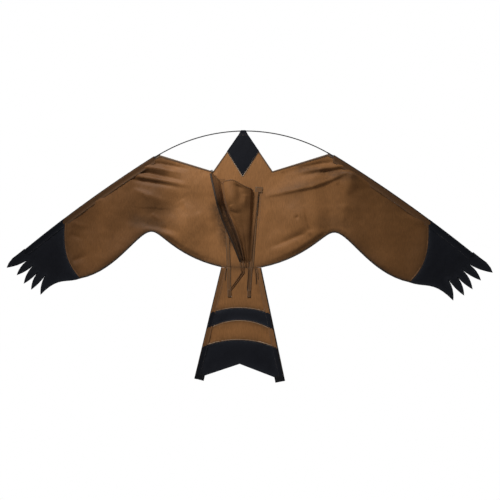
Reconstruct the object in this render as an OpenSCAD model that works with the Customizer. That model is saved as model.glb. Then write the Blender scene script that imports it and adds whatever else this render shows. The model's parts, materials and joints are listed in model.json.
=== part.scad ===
// Hawk kite of a bird scarer, hanging with its head up and its belly to the front (-Y).
// The origin is on the axis of the bow rod at the nose. Lengths in millimetres, +Z up.
// Shares of the outline are [part of the half span, part of the kite length below the nose].

/* [Kite] */
// Wing tip to wing tip
wing_span = 1350; // [1000:10:1700]
// Nose to the ends of the tail tabs
kite_length = 693; // [560:1:830]
// Thickness of one layer of sailcloth as a solid
cloth_t = 0.8; // [0.6:0.1:1.2]
// Width of the folded hems
hem_w = 4; // [2.5:0.1:6]
// Thickness of the folded hems
hem_t = 1.4; // [1.0:0.1:2]
// Gap along each cloth hinge
hinge_gap = 0.9; // [0.6:0.05:1.2]

/* [Frame] */
// Diameter of the bow rod
bow_rod_d = 3; // [2:0.1:3.6]
// Radius of the bow from shoulder to shoulder
bow_radius = 468; // [380:1:600]
// Diameter of the wing rods
wing_rod_d = 4; // [3:0.1:4.6]
// Radius of the gentle bend of the wing rods
wing_radius = 3600; // [2800:10:6000]
// Diameter of the tail rods
tail_rod_d = 3; // [2:0.1:3.6]
// Gap round a rod inside a tube or a cap
rod_play = 0.15; // [0.1:0.05:0.3]
// Distance of each rod end from the shoulder hinge
rod_end_gap = 1.5; // [1:0.1:3]
// Length of the soft tube at each shoulder
tube_length = 36; // [24:1:60]
// Wall of the soft tubes and caps
tube_wall = 1; // [0.6:0.1:1.1]
// Length of the caps on the rod ends
cap_length = 14; // [8:1:24]
// Closed end of the caps
cap_end = 2; // [1:0.1:4]

/* [Sleeves] */
// Width of the leading edge sleeves
lead_sleeve_w = 16; // [12:0.5:20]
// Width of the tail sleeves
tail_sleeve_w = 12.5; // [9:0.5:18]
// Thickness of the sleeve cloth
sleeve_t = 0.6; // [0.4:0.1:1]
// Gap between a sleeve and the tube or cap inside it
sleeve_play = 0.4; // [0.3:0.05:0.8]
// Distance of a panel's edge from the sleeve bore
edge_play = 0.5; // [0.3:0.1:1]
// Distance of the leading sleeves' inner corners from the shoulder hinge
lead_mouth = 1.5; // [1.2:0.1:6]
// Width of the nose sleeve
nose_w = 22.6; // [16:0.2:30]
// Depth of the nose sleeve below the bow rod
nose_depth = 14; // [10:0.5:20]

/* [Tail] */
// Width of the tail at its hinge
tail_root_w = 112; // [90:1:140]
// Width of the tail at its end
tail_end_w = 246; // [200:1:300]
// Distance of the tail sleeves from the tail hinge
tail_mouth = 5; // [4:0.5:12]
// Length of the square tabs at the tail's corners
tab_length = 14; // [10:0.5:20]
// Width of the square tabs
tab_w = 24; // [20:0.5:30]
// Thickness of the flat part of the tabs
tab_t = 2.4; // [1.6:0.1:3]

/* [Belly] */
// Half the distance between the belly tapes at the top
tape_top_half = 47; // [40:0.5:56]
// Half the distance between the belly tapes at the tail hinge
tape_low_half = 26; // [22:0.5:32]
// Width of the belly tapes
tape_w = 11; // [8:0.5:14]
// Thickness of the belly tapes
tape_t = 0.8; // [0.5:0.1:1.2]
// Width of the stitched patches
patch_w = 22; // [16:0.5:26]
// Height of the stitched patches
patch_h = 17; // [12:0.5:22]
// Height of the belly panel above the back where it is sewn on
belly_lift_h = 1.9; // [1.8:0.1:3]
// Height of the crest of the fallen belly panel
belly_crest = 34; // [24:1:48]
// Height of the lower pleats on the tail
pleat_h = 3.5; // [2:0.1:5]
// Width of the lower pleats
pleat_w = 6; // [4:0.2:9]

/* [Tow loop] */
// Inner radius of the tow loop
loop_r = 2.5; // [2:0.1:4]
// Thickness of the tow loop's webbing
loop_wall = 1.6; // [1:0.1:2.4]
// Width of the tow loop's webbing
loop_w = 5; // [4:0.2:8]
// Gap between the tow loop and the hem that carries it
loop_play = 0.3; // [0.2:0.05:0.5]

/* [Folds] */
// Depth of the folds at the shoulders
fold_h = 7; // [3:0.5:10]
// Depth of the soft billow of the wings
billow_h = 10; // [4:0.5:16]

/* [Hidden] */
$fn = 48;

brown = [0.50, 0.35, 0.22];
black = [0.10, 0.10, 0.12];
rod_grey = [0.20, 0.20, 0.22];
tube_grey = [0.30, 0.30, 0.32];
left = -1;
right = 1;

// Parts of the outline, chosen along the photographed edge
wrist_share = 0.370;
apex_share = 0.412;
neck_share = [0.1237, 0.1644];
tail_hinge_share = 0.5522;
inner_edge_shares = [[0.329, 0.4228], [0.262, 0.515], [0.0822, 0.5522]];
outer_edge_shares = [[0.430, 0.3970], [0.514, 0.573], [0.677, 0.604]];
tip_line_shares = [[0.752, 0.447], [0.758, 0.527], [0.677, 0.604]];
tip_low_shares = [[0.741, 0.626], [0.770, 0.594], [0.847, 0.672]];
lead_end_share = 0.916;
tip_lead_shares = [[0.925, 0.484], [0.953, 0.506], [0.976, 0.523], [0.992, 0.543]];
feather_tip_shares = [[1, 0.5627], [0.9543, 0.593], [0.922, 0.6275], [0.889, 0.652], [0.847, 0.672]];
feather_notch_shares = [[0.9105, 0.532], [0.884, 0.5535], [0.863, 0.580], [0.828, 0.590]];
feather_outer_share = 0.09;
feather_inner_share = 0.05;
band_top_shares = [0.7133, 0.731];
band_low_shares = [0.7607, 0.792];
end_top_shares = [0.8395, 0.865];
chevron_share = 0.9335;
patch_corner_shares = [0.0640, 0.0888];
patch_point_share = 0.1837;
tape_top_share = 0.228;
tape_end_share = 0.669;
belly_end_share = 0.533;

half_span = wing_span / 2;
wrist = wrist_share * half_span;
half_gap = hinge_gap / 2;
bow_angle = asin(wrist / bow_radius);
shoulder = [wrist, bow_radius * (cos(bow_angle) - 1)];
bow_centre = [0, -bow_radius];
wing_centre = shoulder - wing_radius * [sin(bow_angle), cos(bow_angle)];
tail_hinge = -tail_hinge_share * kite_length;
front = -cloth_t / 2;
bow_r = bow_rod_d / 2;
wing_r = wing_rod_d / 2;
tail_r = tail_rod_d / 2;
tube_r = wing_r + rod_play + tube_wall;
lead_bore = tube_r + sleeve_play;
lead_r = lead_bore + sleeve_t;
panel_inset = lead_bore + edge_play;
cap_r = tail_r + rod_play + tube_wall;
tail_bore = cap_r + sleeve_play;
tail_sleeve_r = tail_bore + sleeve_t;
nose_bore = bow_r + sleeve_play;
nose_r = nose_bore + sleeve_t;
overrun = 1;
arc_steps = 720;

// A point of the outline from its shares
function outline(share) = [share[0] * half_span, -share[1] * kite_length];
function mix(a, b, t) = a + (b - a) * t;
function soft(t) = let (c = min(max(t, 0), 1)) c * c * (3 - 2 * c);
function curve(p, t) = let (u = 1 - t)
    u * u * u * p[0] + 3 * u * u * t * p[1] + 3 * u * t * t * p[2] + t * t * t * p[3];
function turned(v) = [-v[1], v[0]] / norm(v);
function flat(rows) = [for (row = rows) for (p = row) p];
function reversed(list) = [for (i = [len(list) - 1 : -1 : 0]) list[i]];

// Curve through four or more points, for a position from zero to one along them
function through(list, t) = let (
    last = len(list) - 1,
    i = min(floor(t * last), last - 1),
    s = t * last - i,
    a = list[max(i - 1, 0)],
    b = list[i],
    c = list[i + 1],
    d = list[min(i + 2, last)]
) b + s * ((c - a) / 2 + s * (a - 2.5 * b + 2 * c - d / 2 + s * (1.5 * (b - c) + (d - a) / 2)));

// A bulged edge from a to b without its last point
bulge_steps = 6;
function bulged(a, b, share) = [
    for (i = [0 : bulge_steps - 1]) let (t = i / bulge_steps)
        mix(a, b, t) + 4 * t * (1 - t) * share * norm(b - a) * turned(b - a)
];

// Points along the wing rod, at a distance inside its axis, from the angle of the rod
function lead_angle(x, inset) = asin((x - wing_centre[0]) / (wing_radius - inset));
function lead_point(angle, inset) = wing_centre + (wing_radius - inset) * [sin(angle), cos(angle)];

// Trailing edges of the inner wing and of the wing, and the seam of the black tip
inner_edge = concat([[wrist - half_gap, -apex_share * kite_length]], [for (s = inner_edge_shares) outline(s)]);
outer_edge = concat([[wrist + half_gap, -apex_share * kite_length]], [for (s = outer_edge_shares) outline(s)]);
tip_lead_angle = lead_angle(tip_line_shares[0][0] * half_span, panel_inset);
tip_line = concat([lead_point(tip_lead_angle, panel_inset)], [for (s = tip_line_shares) outline(s)]);
tip_run = 3 * norm(tip_line[3] - tip_line[2]);
tip_hem_slant_share = 1.2;
tip_hem_share = 1 - tip_hem_slant_share * hem_w / tip_run;
lead_end_angle = lead_angle(lead_end_share * half_span, 0);

inner_steps = 13;
wing_steps = 16;
function inner_outer(i) = curve(inner_edge, i / inner_steps);
function inner_inset(i) = let (
    p = inner_outer(i),
    step = inner_outer(i + 1) - inner_outer(i - 1)
) i == 0 ? p + [0, hem_w] : p - hem_w * turned(step);
function wing_outer(i) = curve(outer_edge, i / wing_steps);
function wing_inset(i) = let (
    p = wing_outer(i),
    step = wing_outer(i + 1) - wing_outer(i - 1)
) i == 0 ? p + [0, hem_w] : i == wing_steps ? curve(tip_line, tip_hem_share) : p + hem_w * turned(step);

// Corners of the neck and of the head
neck = outline(neck_share);
neck_inset_shares = [-0.35, -1.25];
neck_inset = neck + hem_w * neck_inset_shares;
neck_clear = tube_r + sleeve_play;
neck_bend_share = 0.35;
neck_bend_angle = bow_angle - neck_bend_share * tube_length / bow_radius * 180 / PI;
neck_bend = bow_centre + (bow_radius - neck_clear) * [sin(neck_bend_angle), cos(neck_bend_angle)];
neck_bend_inset_shares = [0.15, 1.1];
neck_bend_inset = neck_bend - hem_w * neck_bend_inset_shares;
neck_end = [wrist - half_gap, shoulder[1] - neck_clear / cos(bow_angle)];
neck_end_inset = neck_end - [0, hem_w];
nose_low = -nose_bore - edge_play;
head_top = [nose_w / 2 + hem_w, -nose_depth];
head_top_inset = head_top - [hem_w, 0];
nose_corner = [nose_w / 2 - hem_w, nose_low];

// Rows of a panel: the first lies under the sleeve, the rest are spread evenly
lead_row_share = 0.085;
body_rows = 13;
wing_rows = 12;

// One fold: a ridge along the line from a to b, in front of the back where it is positive
function ridge(p, a, b, width) = let (
    run = b - a,
    t = ((p - a) * run) / (run * run),
    side = (p - a - t * run) * turned(run)
) exp(-side * side / (width * width)) * soft(4 * t) * soft(4 * (1 - t));

// Main folds: [start, end, width, depth], each start and end in shares of the outline
left_fold_shares = [
    [[0.43, 0.125], [0.21, 0.150], 0.020, 1],
    [[0.43, 0.160], [0.22, 0.192], 0.018, -0.7],
    [[0.43, 0.200], [0.24, 0.226], 0.020, 0.8],
    [[0.40, 0.270], [0.30, 0.350], 0.045, -0.9]
];
right_fold_shares = [
    [[0.48, 0.165], [0.20, 0.255], 0.022, 1],
    [[0.47, 0.205], [0.30, 0.262], 0.022, -0.8],
    [[0.46, 0.150], [0.25, 0.178], 0.018, -0.6],
    [[0.25, 0.290], [0.29, 0.400], 0.020, 0.6]
];
function fold_sum(p, folds) = fold_h * [
    for (f = folds) f[3] * ridge(p, outline(f[0]), outline(f[1]), f[2] * half_span)
] * [for (f = folds) 1];

// Body panel: one grid from shoulder to shoulder, with the head
head_steps = 5;
nose_steps = 2;
tail_corner = [tail_root_w / 2 - hem_w, tail_hinge + half_gap];
function half_top(i) = i == 0
    ? neck_end_inset
    : i <= inner_steps
        ? mix(neck_bend_inset, neck_inset, (i - 1) / (inner_steps - 1))
        : i < inner_steps + head_steps
            ? mix(neck_inset, head_top_inset, (i - inner_steps) / (head_steps - 1))
            : nose_corner;
function half_low(i) = i <= inner_steps
    ? inner_inset(i)
    : mix(tail_corner, [nose_w / 2, tail_corner[1]], (i - inner_steps) / head_steps);
half_columns = inner_steps + head_steps;
function right_column(i) = [half_top(i), half_low(i)];
function left_column(i) = [for (p = right_column(i)) [-p[0], p[1]]];
body_columns = concat(
    [for (i = [0 : half_columns]) left_column(i)],
    [for (i = [half_columns : -1 : 0]) right_column(i)]
);
function body_fold(p, v) = let (
    away = abs(p[0]),
    root = soft((away - neck[0]) / (neck[0] / 2)),
    outer = soft((wrist - away) / (neck[0] / 2)),
    level = soft(v * 6) * soft((1 - v) * 6)
) root * outer * level * (
    p[0] < 0 ? fold_sum([away, p[1]], left_fold_shares) : fold_sum([away, p[1]], right_fold_shares)
);

// Wing panel: one grid from the shoulder hinge to the black tip
function wing_top(s) = lead_point(mix(lead_angle(wrist + half_gap, panel_inset), tip_lead_angle, s), panel_inset);
function wing_point(i, v) = let (
    s = i / wing_steps,
    ruled = mix(wing_top(s), wing_inset(i), v),
    edge = mix(wing_top(1), wing_inset(wing_steps), v)
) ruled + s * s * s * (curve(tip_line, tip_hem_share * v) - edge);
function wing_row(j) = j == 0 ? 0 : mix(lead_row_share, 1, (j - 1) / (wing_rows - 1));
function wing_fold(p, i, j, folds) = let (
    s = i / wing_steps,
    v = (wing_row(j) - lead_row_share) / (1 - lead_row_share),
    level = soft(v * 5) * soft((1 - v) * 5) * soft(s * 8) * soft((1 - s) * 8)
) level * (fold_sum(p, folds) - billow_h * sin(180 * v) * sin(180 * s));

// A closed sheet between two grids of points, given row by row from the top
module sheet(near, far) {
    rows = len(near) - 1;
    columns = len(near[0]) - 1;
    wide = columns + 1;
    total = (rows + 1) * wide;
    faces = concat(
        [for (i = [0 : rows - 1]) for (j = [0 : columns - 1]) for (k = [0 : 3])
            let (a = i * wide + j, b = a + 1, c = b + wide, d = a + wide)
            [[a, b, c], [a, c, d], [a + total, c + total, b + total], [a + total, d + total, c + total]][k]],
        [for (j = [0 : columns - 1]) for (k = [0 : 3])
            let (a = j, b = j + 1, c = rows * wide + j, d = c + 1)
            [[b, a, a + total], [b, a + total, b + total], [c, d, d + total], [c, d + total, c + total]][k]],
        [for (i = [0 : rows - 1]) for (k = [0 : 3])
            let (a = i * wide, b = a + wide, c = a + columns, d = b + columns)
            [[a, b, b + total], [a, b + total, a + total], [d, c, c + total], [d, c + total, d + total]][k]]
    );
    polyhedron(points = concat(flat(near), flat(far)), faces = faces, convexity = 8);
}

// A flat piece of cloth from its outline, with its middle at a depth
module plate(points, thick, depth = 0) {
    translate([0, depth, 0])
        rotate([90, 0, 0])
            linear_extrude(height = thick, center = true)
                polygon(points);
}

// A strip of hem between the outer and the inner points of an edge
module hem(outer, inner) {
    color(brown * 0.5)
        plate(concat(outer, reversed(inner)), hem_t);
}

// A profile swept along an arc in the plane of the kite
module swept(centre, start, sweep) {
    translate([centre[0], 0, centre[1]])
        rotate([90, 0, 0])
            rotate([0, 0, start])
                rotate_extrude(angle = sweep, $fn = arc_steps)
                    children();
}

// Swept along the bow or along the wing rod between two angles from the nose
module on_bow(from, to) {
    swept(bow_centre, 90 - to, to - from)
        translate([bow_radius, 0])
            children();
}

module on_wing(from, to) {
    swept(wing_centre, 90 - to, to - from)
        translate([wing_radius, 0])
            children();
}

// Right-hand pieces, mirrored for the left
module sided(side) {
    mirror([side < 0 ? 1 : 0, 0, 0])
        children();
}

// Section of a sleeve that is folded round a rod and sewn to both faces of a panel
module sleeve_section(bore, outer, width) {
    difference() {
        union() {
            circle(r = outer);
            translate([-width, front - sleeve_t])
                square([width, cloth_t + 2 * sleeve_t]);
        }
        circle(r = bore);
        translate([-width - overrun, front])
            square([width + overrun, cloth_t]);
    }
}

module ring_section(bore, outer) {
    difference() {
        circle(r = outer);
        circle(r = bore);
    }
}

// Angles along the rods for lengths along their axes
bow_gap_angle = rod_end_gap / bow_radius * 180 / PI;
wing_gap_angle = rod_end_gap / wing_radius * 180 / PI;
bow_tube_angle = tube_length / 2 / bow_radius * 180 / PI;
wing_tube_angle = tube_length / 2 / wing_radius * 180 / PI;
cap_angle = cap_length / wing_radius * 180 / PI;
cap_end_angle = cap_end / wing_radius * 180 / PI;
mouth_angle = lead_angle(wrist + lead_mouth, lead_sleeve_w);
tip_seam_angle = lead_angle(tip_line_shares[0][0] * half_span, 0);

// Frame on the body

module bow_rod() {
    color(rod_grey)
        on_bow(-bow_angle + bow_gap_angle, bow_angle - bow_gap_angle)
            circle(r = bow_r);
}

// Soft tube: narrow on the bow rod, wider where it is pushed over the wing rod
module shoulder_tube(side) {
    color(tube_grey)
        sided(side) {
            on_bow(bow_angle - bow_tube_angle, bow_angle + bow_gap_angle / 2)
                ring_section(bow_r + rod_play, bow_r + rod_play + tube_wall);
            on_wing(bow_angle - wing_gap_angle / 2, bow_angle + wing_tube_angle)
                ring_section(wing_r + rod_play, tube_r);
        }
}

module nose_sleeve() {
    color(black)
        rotate([0, 90, 0])
            rotate([0, 0, 180])
                linear_extrude(height = nose_w, center = true)
                    sleeve_section(nose_bore, nose_r, nose_depth);
}

// Cloth of the body

module body_panel() {
    grid = [for (j = [0 : body_rows]) [for (c = body_columns) mix(c[0], c[1], j / body_rows)]];
    deep = [for (j = [0 : body_rows]) [for (p = grid[j]) body_fold(p, j / body_rows)]];
    wide = len(body_columns) - 1;
    color(brown)
        sheet(
            [for (j = [0 : body_rows]) [for (i = [0 : wide])
                [grid[j][i][0], front - deep[j][i], grid[j][i][1]]]],
            [for (j = [0 : body_rows]) [for (i = [0 : wide])
                [grid[j][i][0], -front - deep[j][i], grid[j][i][1]]]]
        );
}

module head_patch() {
    corner = outline(patch_corner_shares) - [hem_w + edge_play, 0];
    point = [0, -patch_point_share * kite_length];
    top = [nose_w / 2 - edge_play, -nose_depth - edge_play];
    color(black)
        plate(
            [top, corner, point, [-corner[0], corner[1]], [-top[0], top[1]]],
            cloth_t,
            -cloth_t
        );
}

module head_hem(side) {
    sided(side)
        hem([head_top, neck], [head_top_inset, neck_inset]);
}

module neck_hem(side) {
    sided(side)
        hem([neck, neck_bend, neck_end], [neck_inset, neck_bend_inset, neck_end_inset]);
}

module inner_hem(side) {
    sided(side)
        hem(
            [for (i = [0 : inner_steps]) inner_outer(i)],
            [for (i = [0 : inner_steps]) inner_inset(i)]
        );
}

// Tapes and patches that hold the belly pouch
tape_top = [tape_top_half, -tape_top_share * kite_length];
tape_low = [tape_low_half, tail_hinge + hinge_gap];
tape_end = [tape_low_half, -tape_end_share * kite_length];
tape_run = (tape_low - tape_top) / norm(tape_low - tape_top);
tape_start = tape_top + patch_h * tape_run;

module tape_strip(a, b, width) {
    across = width / 2 * turned(b - a);
    plate([a - across, b - across, b + across, a + across], tape_t, front - tape_t / 2);
}

module belly_tape(side) {
    color(brown * 0.9)
        sided(side)
            tape_strip(tape_start, tape_low, tape_w);
}

module tape_patches() {
    color(brown * 0.8)
        for (side = [left, right])
            sided(side)
                tape_strip(tape_top, tape_start, patch_w);
}

module tail_tape(side) {
    color(brown * 0.9)
        sided(side)
            tape_strip([tape_low_half, tail_hinge - hinge_gap], tape_end, tape_w);
}

// Wings

module wing_panel(side) {
    folds = side < 0 ? left_fold_shares : right_fold_shares;
    grid = [for (j = [0 : wing_rows]) [for (i = [0 : wing_steps]) wing_point(i, wing_row(j))]];
    deep = [for (j = [0 : wing_rows]) [for (i = [0 : wing_steps]) wing_fold(grid[j][i], i, j, folds)]];
    color(brown)
        sided(side)
            sheet(
                [for (j = [0 : wing_rows]) [for (i = [0 : wing_steps])
                    [grid[j][i][0], front - deep[j][i], grid[j][i][1]]]],
                [for (j = [0 : wing_rows]) [for (i = [0 : wing_steps])
                    [grid[j][i][0], -front - deep[j][i], grid[j][i][1]]]]
            );
}

lead_steps = 5;
low_steps = 10;

module wing_tip(side) {
    tips = [for (s = feather_tip_shares) outline(s)];
    notches = [for (s = feather_notch_shares) outline(s)];
    low = concat([outline(outer_edge_shares[2])], [for (s = tip_low_shares) outline(s)]);
    lead = [for (i = [0 : lead_steps])
        lead_point(mix(tip_lead_angle, lead_end_angle, i / lead_steps), panel_inset)];
    feathers = [for (i = [0 : 3]) each concat(
        bulged(tips[i], notches[i], feather_inner_share),
        bulged(notches[i], tips[i + 1], feather_outer_share)
    )];
    seam = [for (j = [wing_rows : -1 : 1]) curve(tip_line, tip_hem_share * wing_row(j))];
    color(black)
        sided(side)
            plate(
                concat(
                    lead,
                    [for (s = tip_lead_shares) outline(s)],
                    feathers,
                    [for (i = [low_steps : -1 : 0]) curve(low, i / low_steps)],
                    seam
                ),
                cloth_t
            );
}

module leading_sleeve(side) {
    color(brown * 0.9)
        sided(side)
            on_wing(mouth_angle, tip_seam_angle)
                sleeve_section(lead_bore, lead_r, lead_sleeve_w);
}

module tip_sleeve(side) {
    color(black)
        sided(side)
            on_wing(tip_seam_angle, lead_end_angle)
                sleeve_section(lead_bore, lead_r, lead_sleeve_w);
}

module wing_rod(side) {
    color(rod_grey)
        sided(side)
            on_wing(bow_angle + wing_gap_angle, lead_end_angle - cap_end_angle)
                circle(r = wing_r);
}

module rod_cap(side) {
    color(tube_grey)
        sided(side)
            difference() {
                on_wing(lead_end_angle - cap_angle, lead_end_angle)
                    circle(r = tube_r);
                on_wing(lead_end_angle - cap_angle - cap_end_angle, lead_end_angle - cap_end_angle)
                    circle(r = wing_r + rod_play);
            }
}

module wing_hem(side) {
    sided(side)
        hem(
            [for (i = [0 : wing_steps]) wing_outer(i)],
            [for (i = [0 : wing_steps]) wing_inset(i)]
        );
}

// Tail: rods along both edges, four panels between them
tail_angle = atan((tail_end_w - tail_root_w) / 2 / (kite_length + tail_hinge));
tail_run = [sin(tail_angle), -cos(tail_angle)];
tail_inward = [-cos(tail_angle), -sin(tail_angle)];
tail_start = [tail_root_w / 2, tail_hinge] + tail_sleeve_r * tail_inward;
tail_total = (kite_length + tail_hinge) / cos(tail_angle) - tail_sleeve_r;
tail_panel_inset = tail_bore + edge_play;
tail_tab_start = tail_total - tab_length;
band_steps = 12;
function tail_edge(z) = tail_start[0] + (tail_start[1] - z) * tan(tail_angle) - tail_panel_inset / cos(tail_angle);

// A seam across the tail: it rises to the middle
function band_line(shares) = let (
    middle = -shares[0] * kite_length,
    side = -shares[1] * kite_length,
    edge = tail_edge(side)
) [for (i = [-band_steps : band_steps]) let (t = i / band_steps) [t * edge, mix(middle, side, t * t)]];

// Along the right tail rod, with X to the middle of the tail
module along_tail(start) {
    translate([tail_start[0], 0, tail_start[1]])
        rotate([0, 180 - tail_angle, 0])
            translate([0, 0, start])
                children();
}

module tail_strip(upper, lower) {
    plate(concat(upper, reversed(lower)), cloth_t);
}

tail_top_line = [
    [-tail_edge(tail_hinge - half_gap), tail_hinge - half_gap],
    [tail_edge(tail_hinge - half_gap), tail_hinge - half_gap]
];
tab_corner = tail_start + tail_tab_start * tail_run;
tab_inner = tab_corner + (tab_w - tail_sleeve_r) * tail_inward;
tab_outer = tab_corner + tail_panel_inset * tail_inward;
tail_end_line = [
    [-tab_outer[0], tab_outer[1]],
    [-tab_inner[0], tab_inner[1]],
    [0, -chevron_share * kite_length],
    tab_inner,
    tab_outer
];

module tail_panel() {
    color(brown)
        tail_strip(tail_top_line, band_line(band_top_shares));
}

module tail_band() {
    color(black)
        tail_strip(band_line(band_top_shares), band_line(band_low_shares));
}

module tail_lower_panel() {
    color(brown)
        tail_strip(band_line(band_low_shares), band_line(end_top_shares));
}

module tail_end_panel() {
    color(black)
        tail_strip(band_line(end_top_shares), tail_end_line);
}

module tail_sleeve(side) {
    color(brown * 0.9)
        sided(side)
            along_tail(tail_mouth)
                linear_extrude(height = tail_tab_start - tail_mouth)
                    mirror([1, 0])
                        sleeve_section(tail_bore, tail_sleeve_r, tail_sleeve_w);
}

module tail_tab(side) {
    color(black)
        sided(side)
            difference() {
                along_tail(tail_tab_start)
                    linear_extrude(height = tab_length) {
                        circle(r = tail_sleeve_r);
                        translate([0, -tab_t / 2])
                            square([tab_w - tail_sleeve_r, tab_t]);
                    }
                along_tail(tail_tab_start - overrun)
                    cylinder(h = tab_length + overrun - cap_end, r = tail_bore);
            }
}

tail_rod_start = tail_mouth + cap_end;
tail_rod_end = tail_total - 2 * cap_end;

module tail_rod(side) {
    color(rod_grey)
        sided(side)
            along_tail(tail_rod_start)
                cylinder(h = tail_rod_end - tail_rod_start, r = tail_r);
}

module tail_cap() {
    difference() {
        cylinder(h = cap_length, r = cap_r);
        translate([0, 0, cap_end])
            cylinder(h = cap_length, r = tail_r + rod_play);
    }
}

module tail_rod_caps() {
    color(tube_grey)
        for (side = [left, right])
            sided(side) {
                along_tail(tail_mouth)
                    tail_cap();
                along_tail(tail_rod_end + cap_end)
                    mirror([0, 0, 1])
                        tail_cap();
            }
}

// Belly pouch: lines from the mouth to the lower end, each [X, height above the back, Z]
belly_end = -belly_end_share * kite_length;
mouth_z_shares = [0.252, 0.236, 0.222, 0.2165, 0.2155, 0.204, 0.180];
mouth_x_shares = [0.93, 0.55, 0.05, -0.48, -1.12, -1.48, -1.81];
mouth_height_shares = [0, 0.10, 0.72, 1, 0.82, 0.55, 0.34];
bend_x_shares = [0.72, 0.50, 0.10, -0.35, -0.85, -1.30, -1.66];
bend_height_shares = [0, 0.05, 0.45, 0.72, 0.64, 0.46, 0.30];
low_x_shares = [0.57, 0.42, 0.27, 0.13, 0.02, -0.08, -0.16];
low_height_shares = [0, 0.03, 0.09, 0.14, 0.15, 0.14, 0.12];
bend_z_share = 0.290;
guides = len(mouth_x_shares) - 1;
belly_across = 14;
belly_down = 14;

function tape_x(z) = tape_top[0] + (z - tape_top[1]) * (tape_low[0] - tape_top[0]) / (tape_low[1] - tape_top[1]);

function belly_guide(k, v) = let (
    rise = belly_crest - belly_lift_h,
    top_z = -mouth_z_shares[k] * kite_length,
    mid_z = mix(-bend_z_share * kite_length, top_z, 0.4),
    p = [mouth_x_shares[k] * tape_top_half, belly_lift_h + mouth_height_shares[k] * rise, top_z],
    q = [bend_x_shares[k] * tape_top_half, belly_lift_h + bend_height_shares[k] * rise, mid_z],
    r = [low_x_shares[k] * tape_top_half, belly_lift_h + low_height_shares[k] * rise, belly_end],
    curved = (1 - v) * (1 - v) * p + 2 * v * (1 - v) * q + v * v * r
) k == 0 ? [tape_x(curved[2]), belly_lift_h, curved[2]] : curved;

function belly_point(u, v) = through([for (k = [0 : guides]) belly_guide(k, v)], u);

// Points on both faces of a loose sheet, from its middle and its run across
function loose(p, step, half) = let (
    n = half * turned([step[0], step[1]])
) [p[0] + n[0], front - p[1] - n[1], p[2]];

function belly_face(i, j, half) = let (
    small = 0.01,
    u = i / belly_across,
    v = j / belly_down,
    p = belly_point(u, v),
    step = belly_point(min(u + small, 1), v) - belly_point(max(u - small, 0), v)
) loose(p, step, half);

module belly_panel() {
    color(brown * 0.85)
        sheet(
            [for (j = [0 : belly_down]) [for (i = [belly_across : -1 : 0]) belly_face(i, j, -cloth_t / 2)]],
            [for (j = [0 : belly_down]) [for (i = [belly_across : -1 : 0]) belly_face(i, j, cloth_t / 2)]]
        );
}

module mouth_hem() {
    near = [for (i = [belly_across : -1 : 0]) belly_face(i, 0, -hem_t / 2)];
    far = [for (i = [belly_across : -1 : 0]) belly_face(i, 0, hem_t / 2)];
    color(brown * 0.5)
        sheet(
            [[for (p = near) p + [0, 0, hem_w]], near],
            [[for (p = far) p + [0, 0, hem_w]], far]
        );
}

// Second side of the pouch: from the left tape to a pleat under the belly panel and back to its edge
// Inner lines of the pleat at its top, each [X, height, Z], and the ends of its two seams
gusset_shares = [[-0.55, 0.05, 0.260], [-0.25, 0.15, 0.258], [-0.40, 0.28, 0.256], [-0.95, 0.30, 0.240]];
gusset_seam_shares = [0.262, 0.470];
gusset_edge_shares = [0.08, 0.80];
gusset_step_shares = [1, -1.8];
gusset_guides = len(gusset_shares) + 1;
gusset_across = 18;
gusset_down = 10;

function gusset_seam(v) = let (
    z = -mix(gusset_seam_shares[0], gusset_seam_shares[1], v) * kite_length
) [-tape_x(z), belly_lift_h, z];
function gusset_edge(v) = belly_point(1, mix(gusset_edge_shares[0], gusset_edge_shares[1], v))
    + cloth_t * [gusset_step_shares[0], gusset_step_shares[1], 0];
function gusset_inner(k, v) = let (
    rise = belly_crest - belly_lift_h,
    share = gusset_shares[k - 1],
    p = [share[0] * tape_top_half, belly_lift_h + share[1] * rise, -share[2] * kite_length],
    r = mix(gusset_seam(1), gusset_edge(1), k / gusset_guides)
) mix(p, r, v);
function gusset_guide(k, v) = k == 0
    ? gusset_seam(v)
    : k == gusset_guides
        ? gusset_edge(v)
        : gusset_inner(k, v);

function gusset_point(u, v) = through([for (k = [0 : gusset_guides]) gusset_guide(k, v)], u);

function gusset_face(i, j, half) = let (
    small = 0.01,
    u = i / gusset_across,
    v = j / gusset_down,
    p = gusset_point(u, v),
    step = gusset_point(min(u + small, 1), v) - gusset_point(max(u - small, 0), v)
) loose(p, step, half);

module belly_gusset() {
    color(brown * 0.7)
        sheet(
            [for (j = [0 : gusset_down]) [for (i = [0 : gusset_across]) gusset_face(i, j, cloth_t / 2)]],
            [for (j = [0 : gusset_down]) [for (i = [0 : gusset_across]) gusset_face(i, j, -cloth_t / 2)]]
        );
}

// Narrow pleats below the pouch, from the middle of the tail hinge to the ends of the tapes
pleat_start = [0, tail_hinge - 2 * pleat_w];

module lower_pleats() {
    color(brown * 0.75)
        for (side = [left, right])
            sided(side) {
                a = pleat_start + [pleat_w, 0];
                b = tape_end - [tape_w / 2 + pleat_w, 0];
                across = pleat_w / 2 * turned(b - a);
                plate([a - across, b - across, b + across, a + across], pleat_h, front - pleat_h / 2);
            }
}

// Tow loop at the front corner of the pouch
belly_tip = belly_point(1, 0);
loop_rise = hem_w + loop_play + loop_r + loop_wall;
loop_centre = [belly_tip[0], front - belly_tip[1], belly_tip[2] + loop_rise];

module tow_loop() {
    color(black)
        translate(loop_centre)
            rotate([90, 0, 0])
                linear_extrude(height = loop_w, center = true)
                    ring_section(loop_r, loop_r + loop_wall);
}

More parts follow.
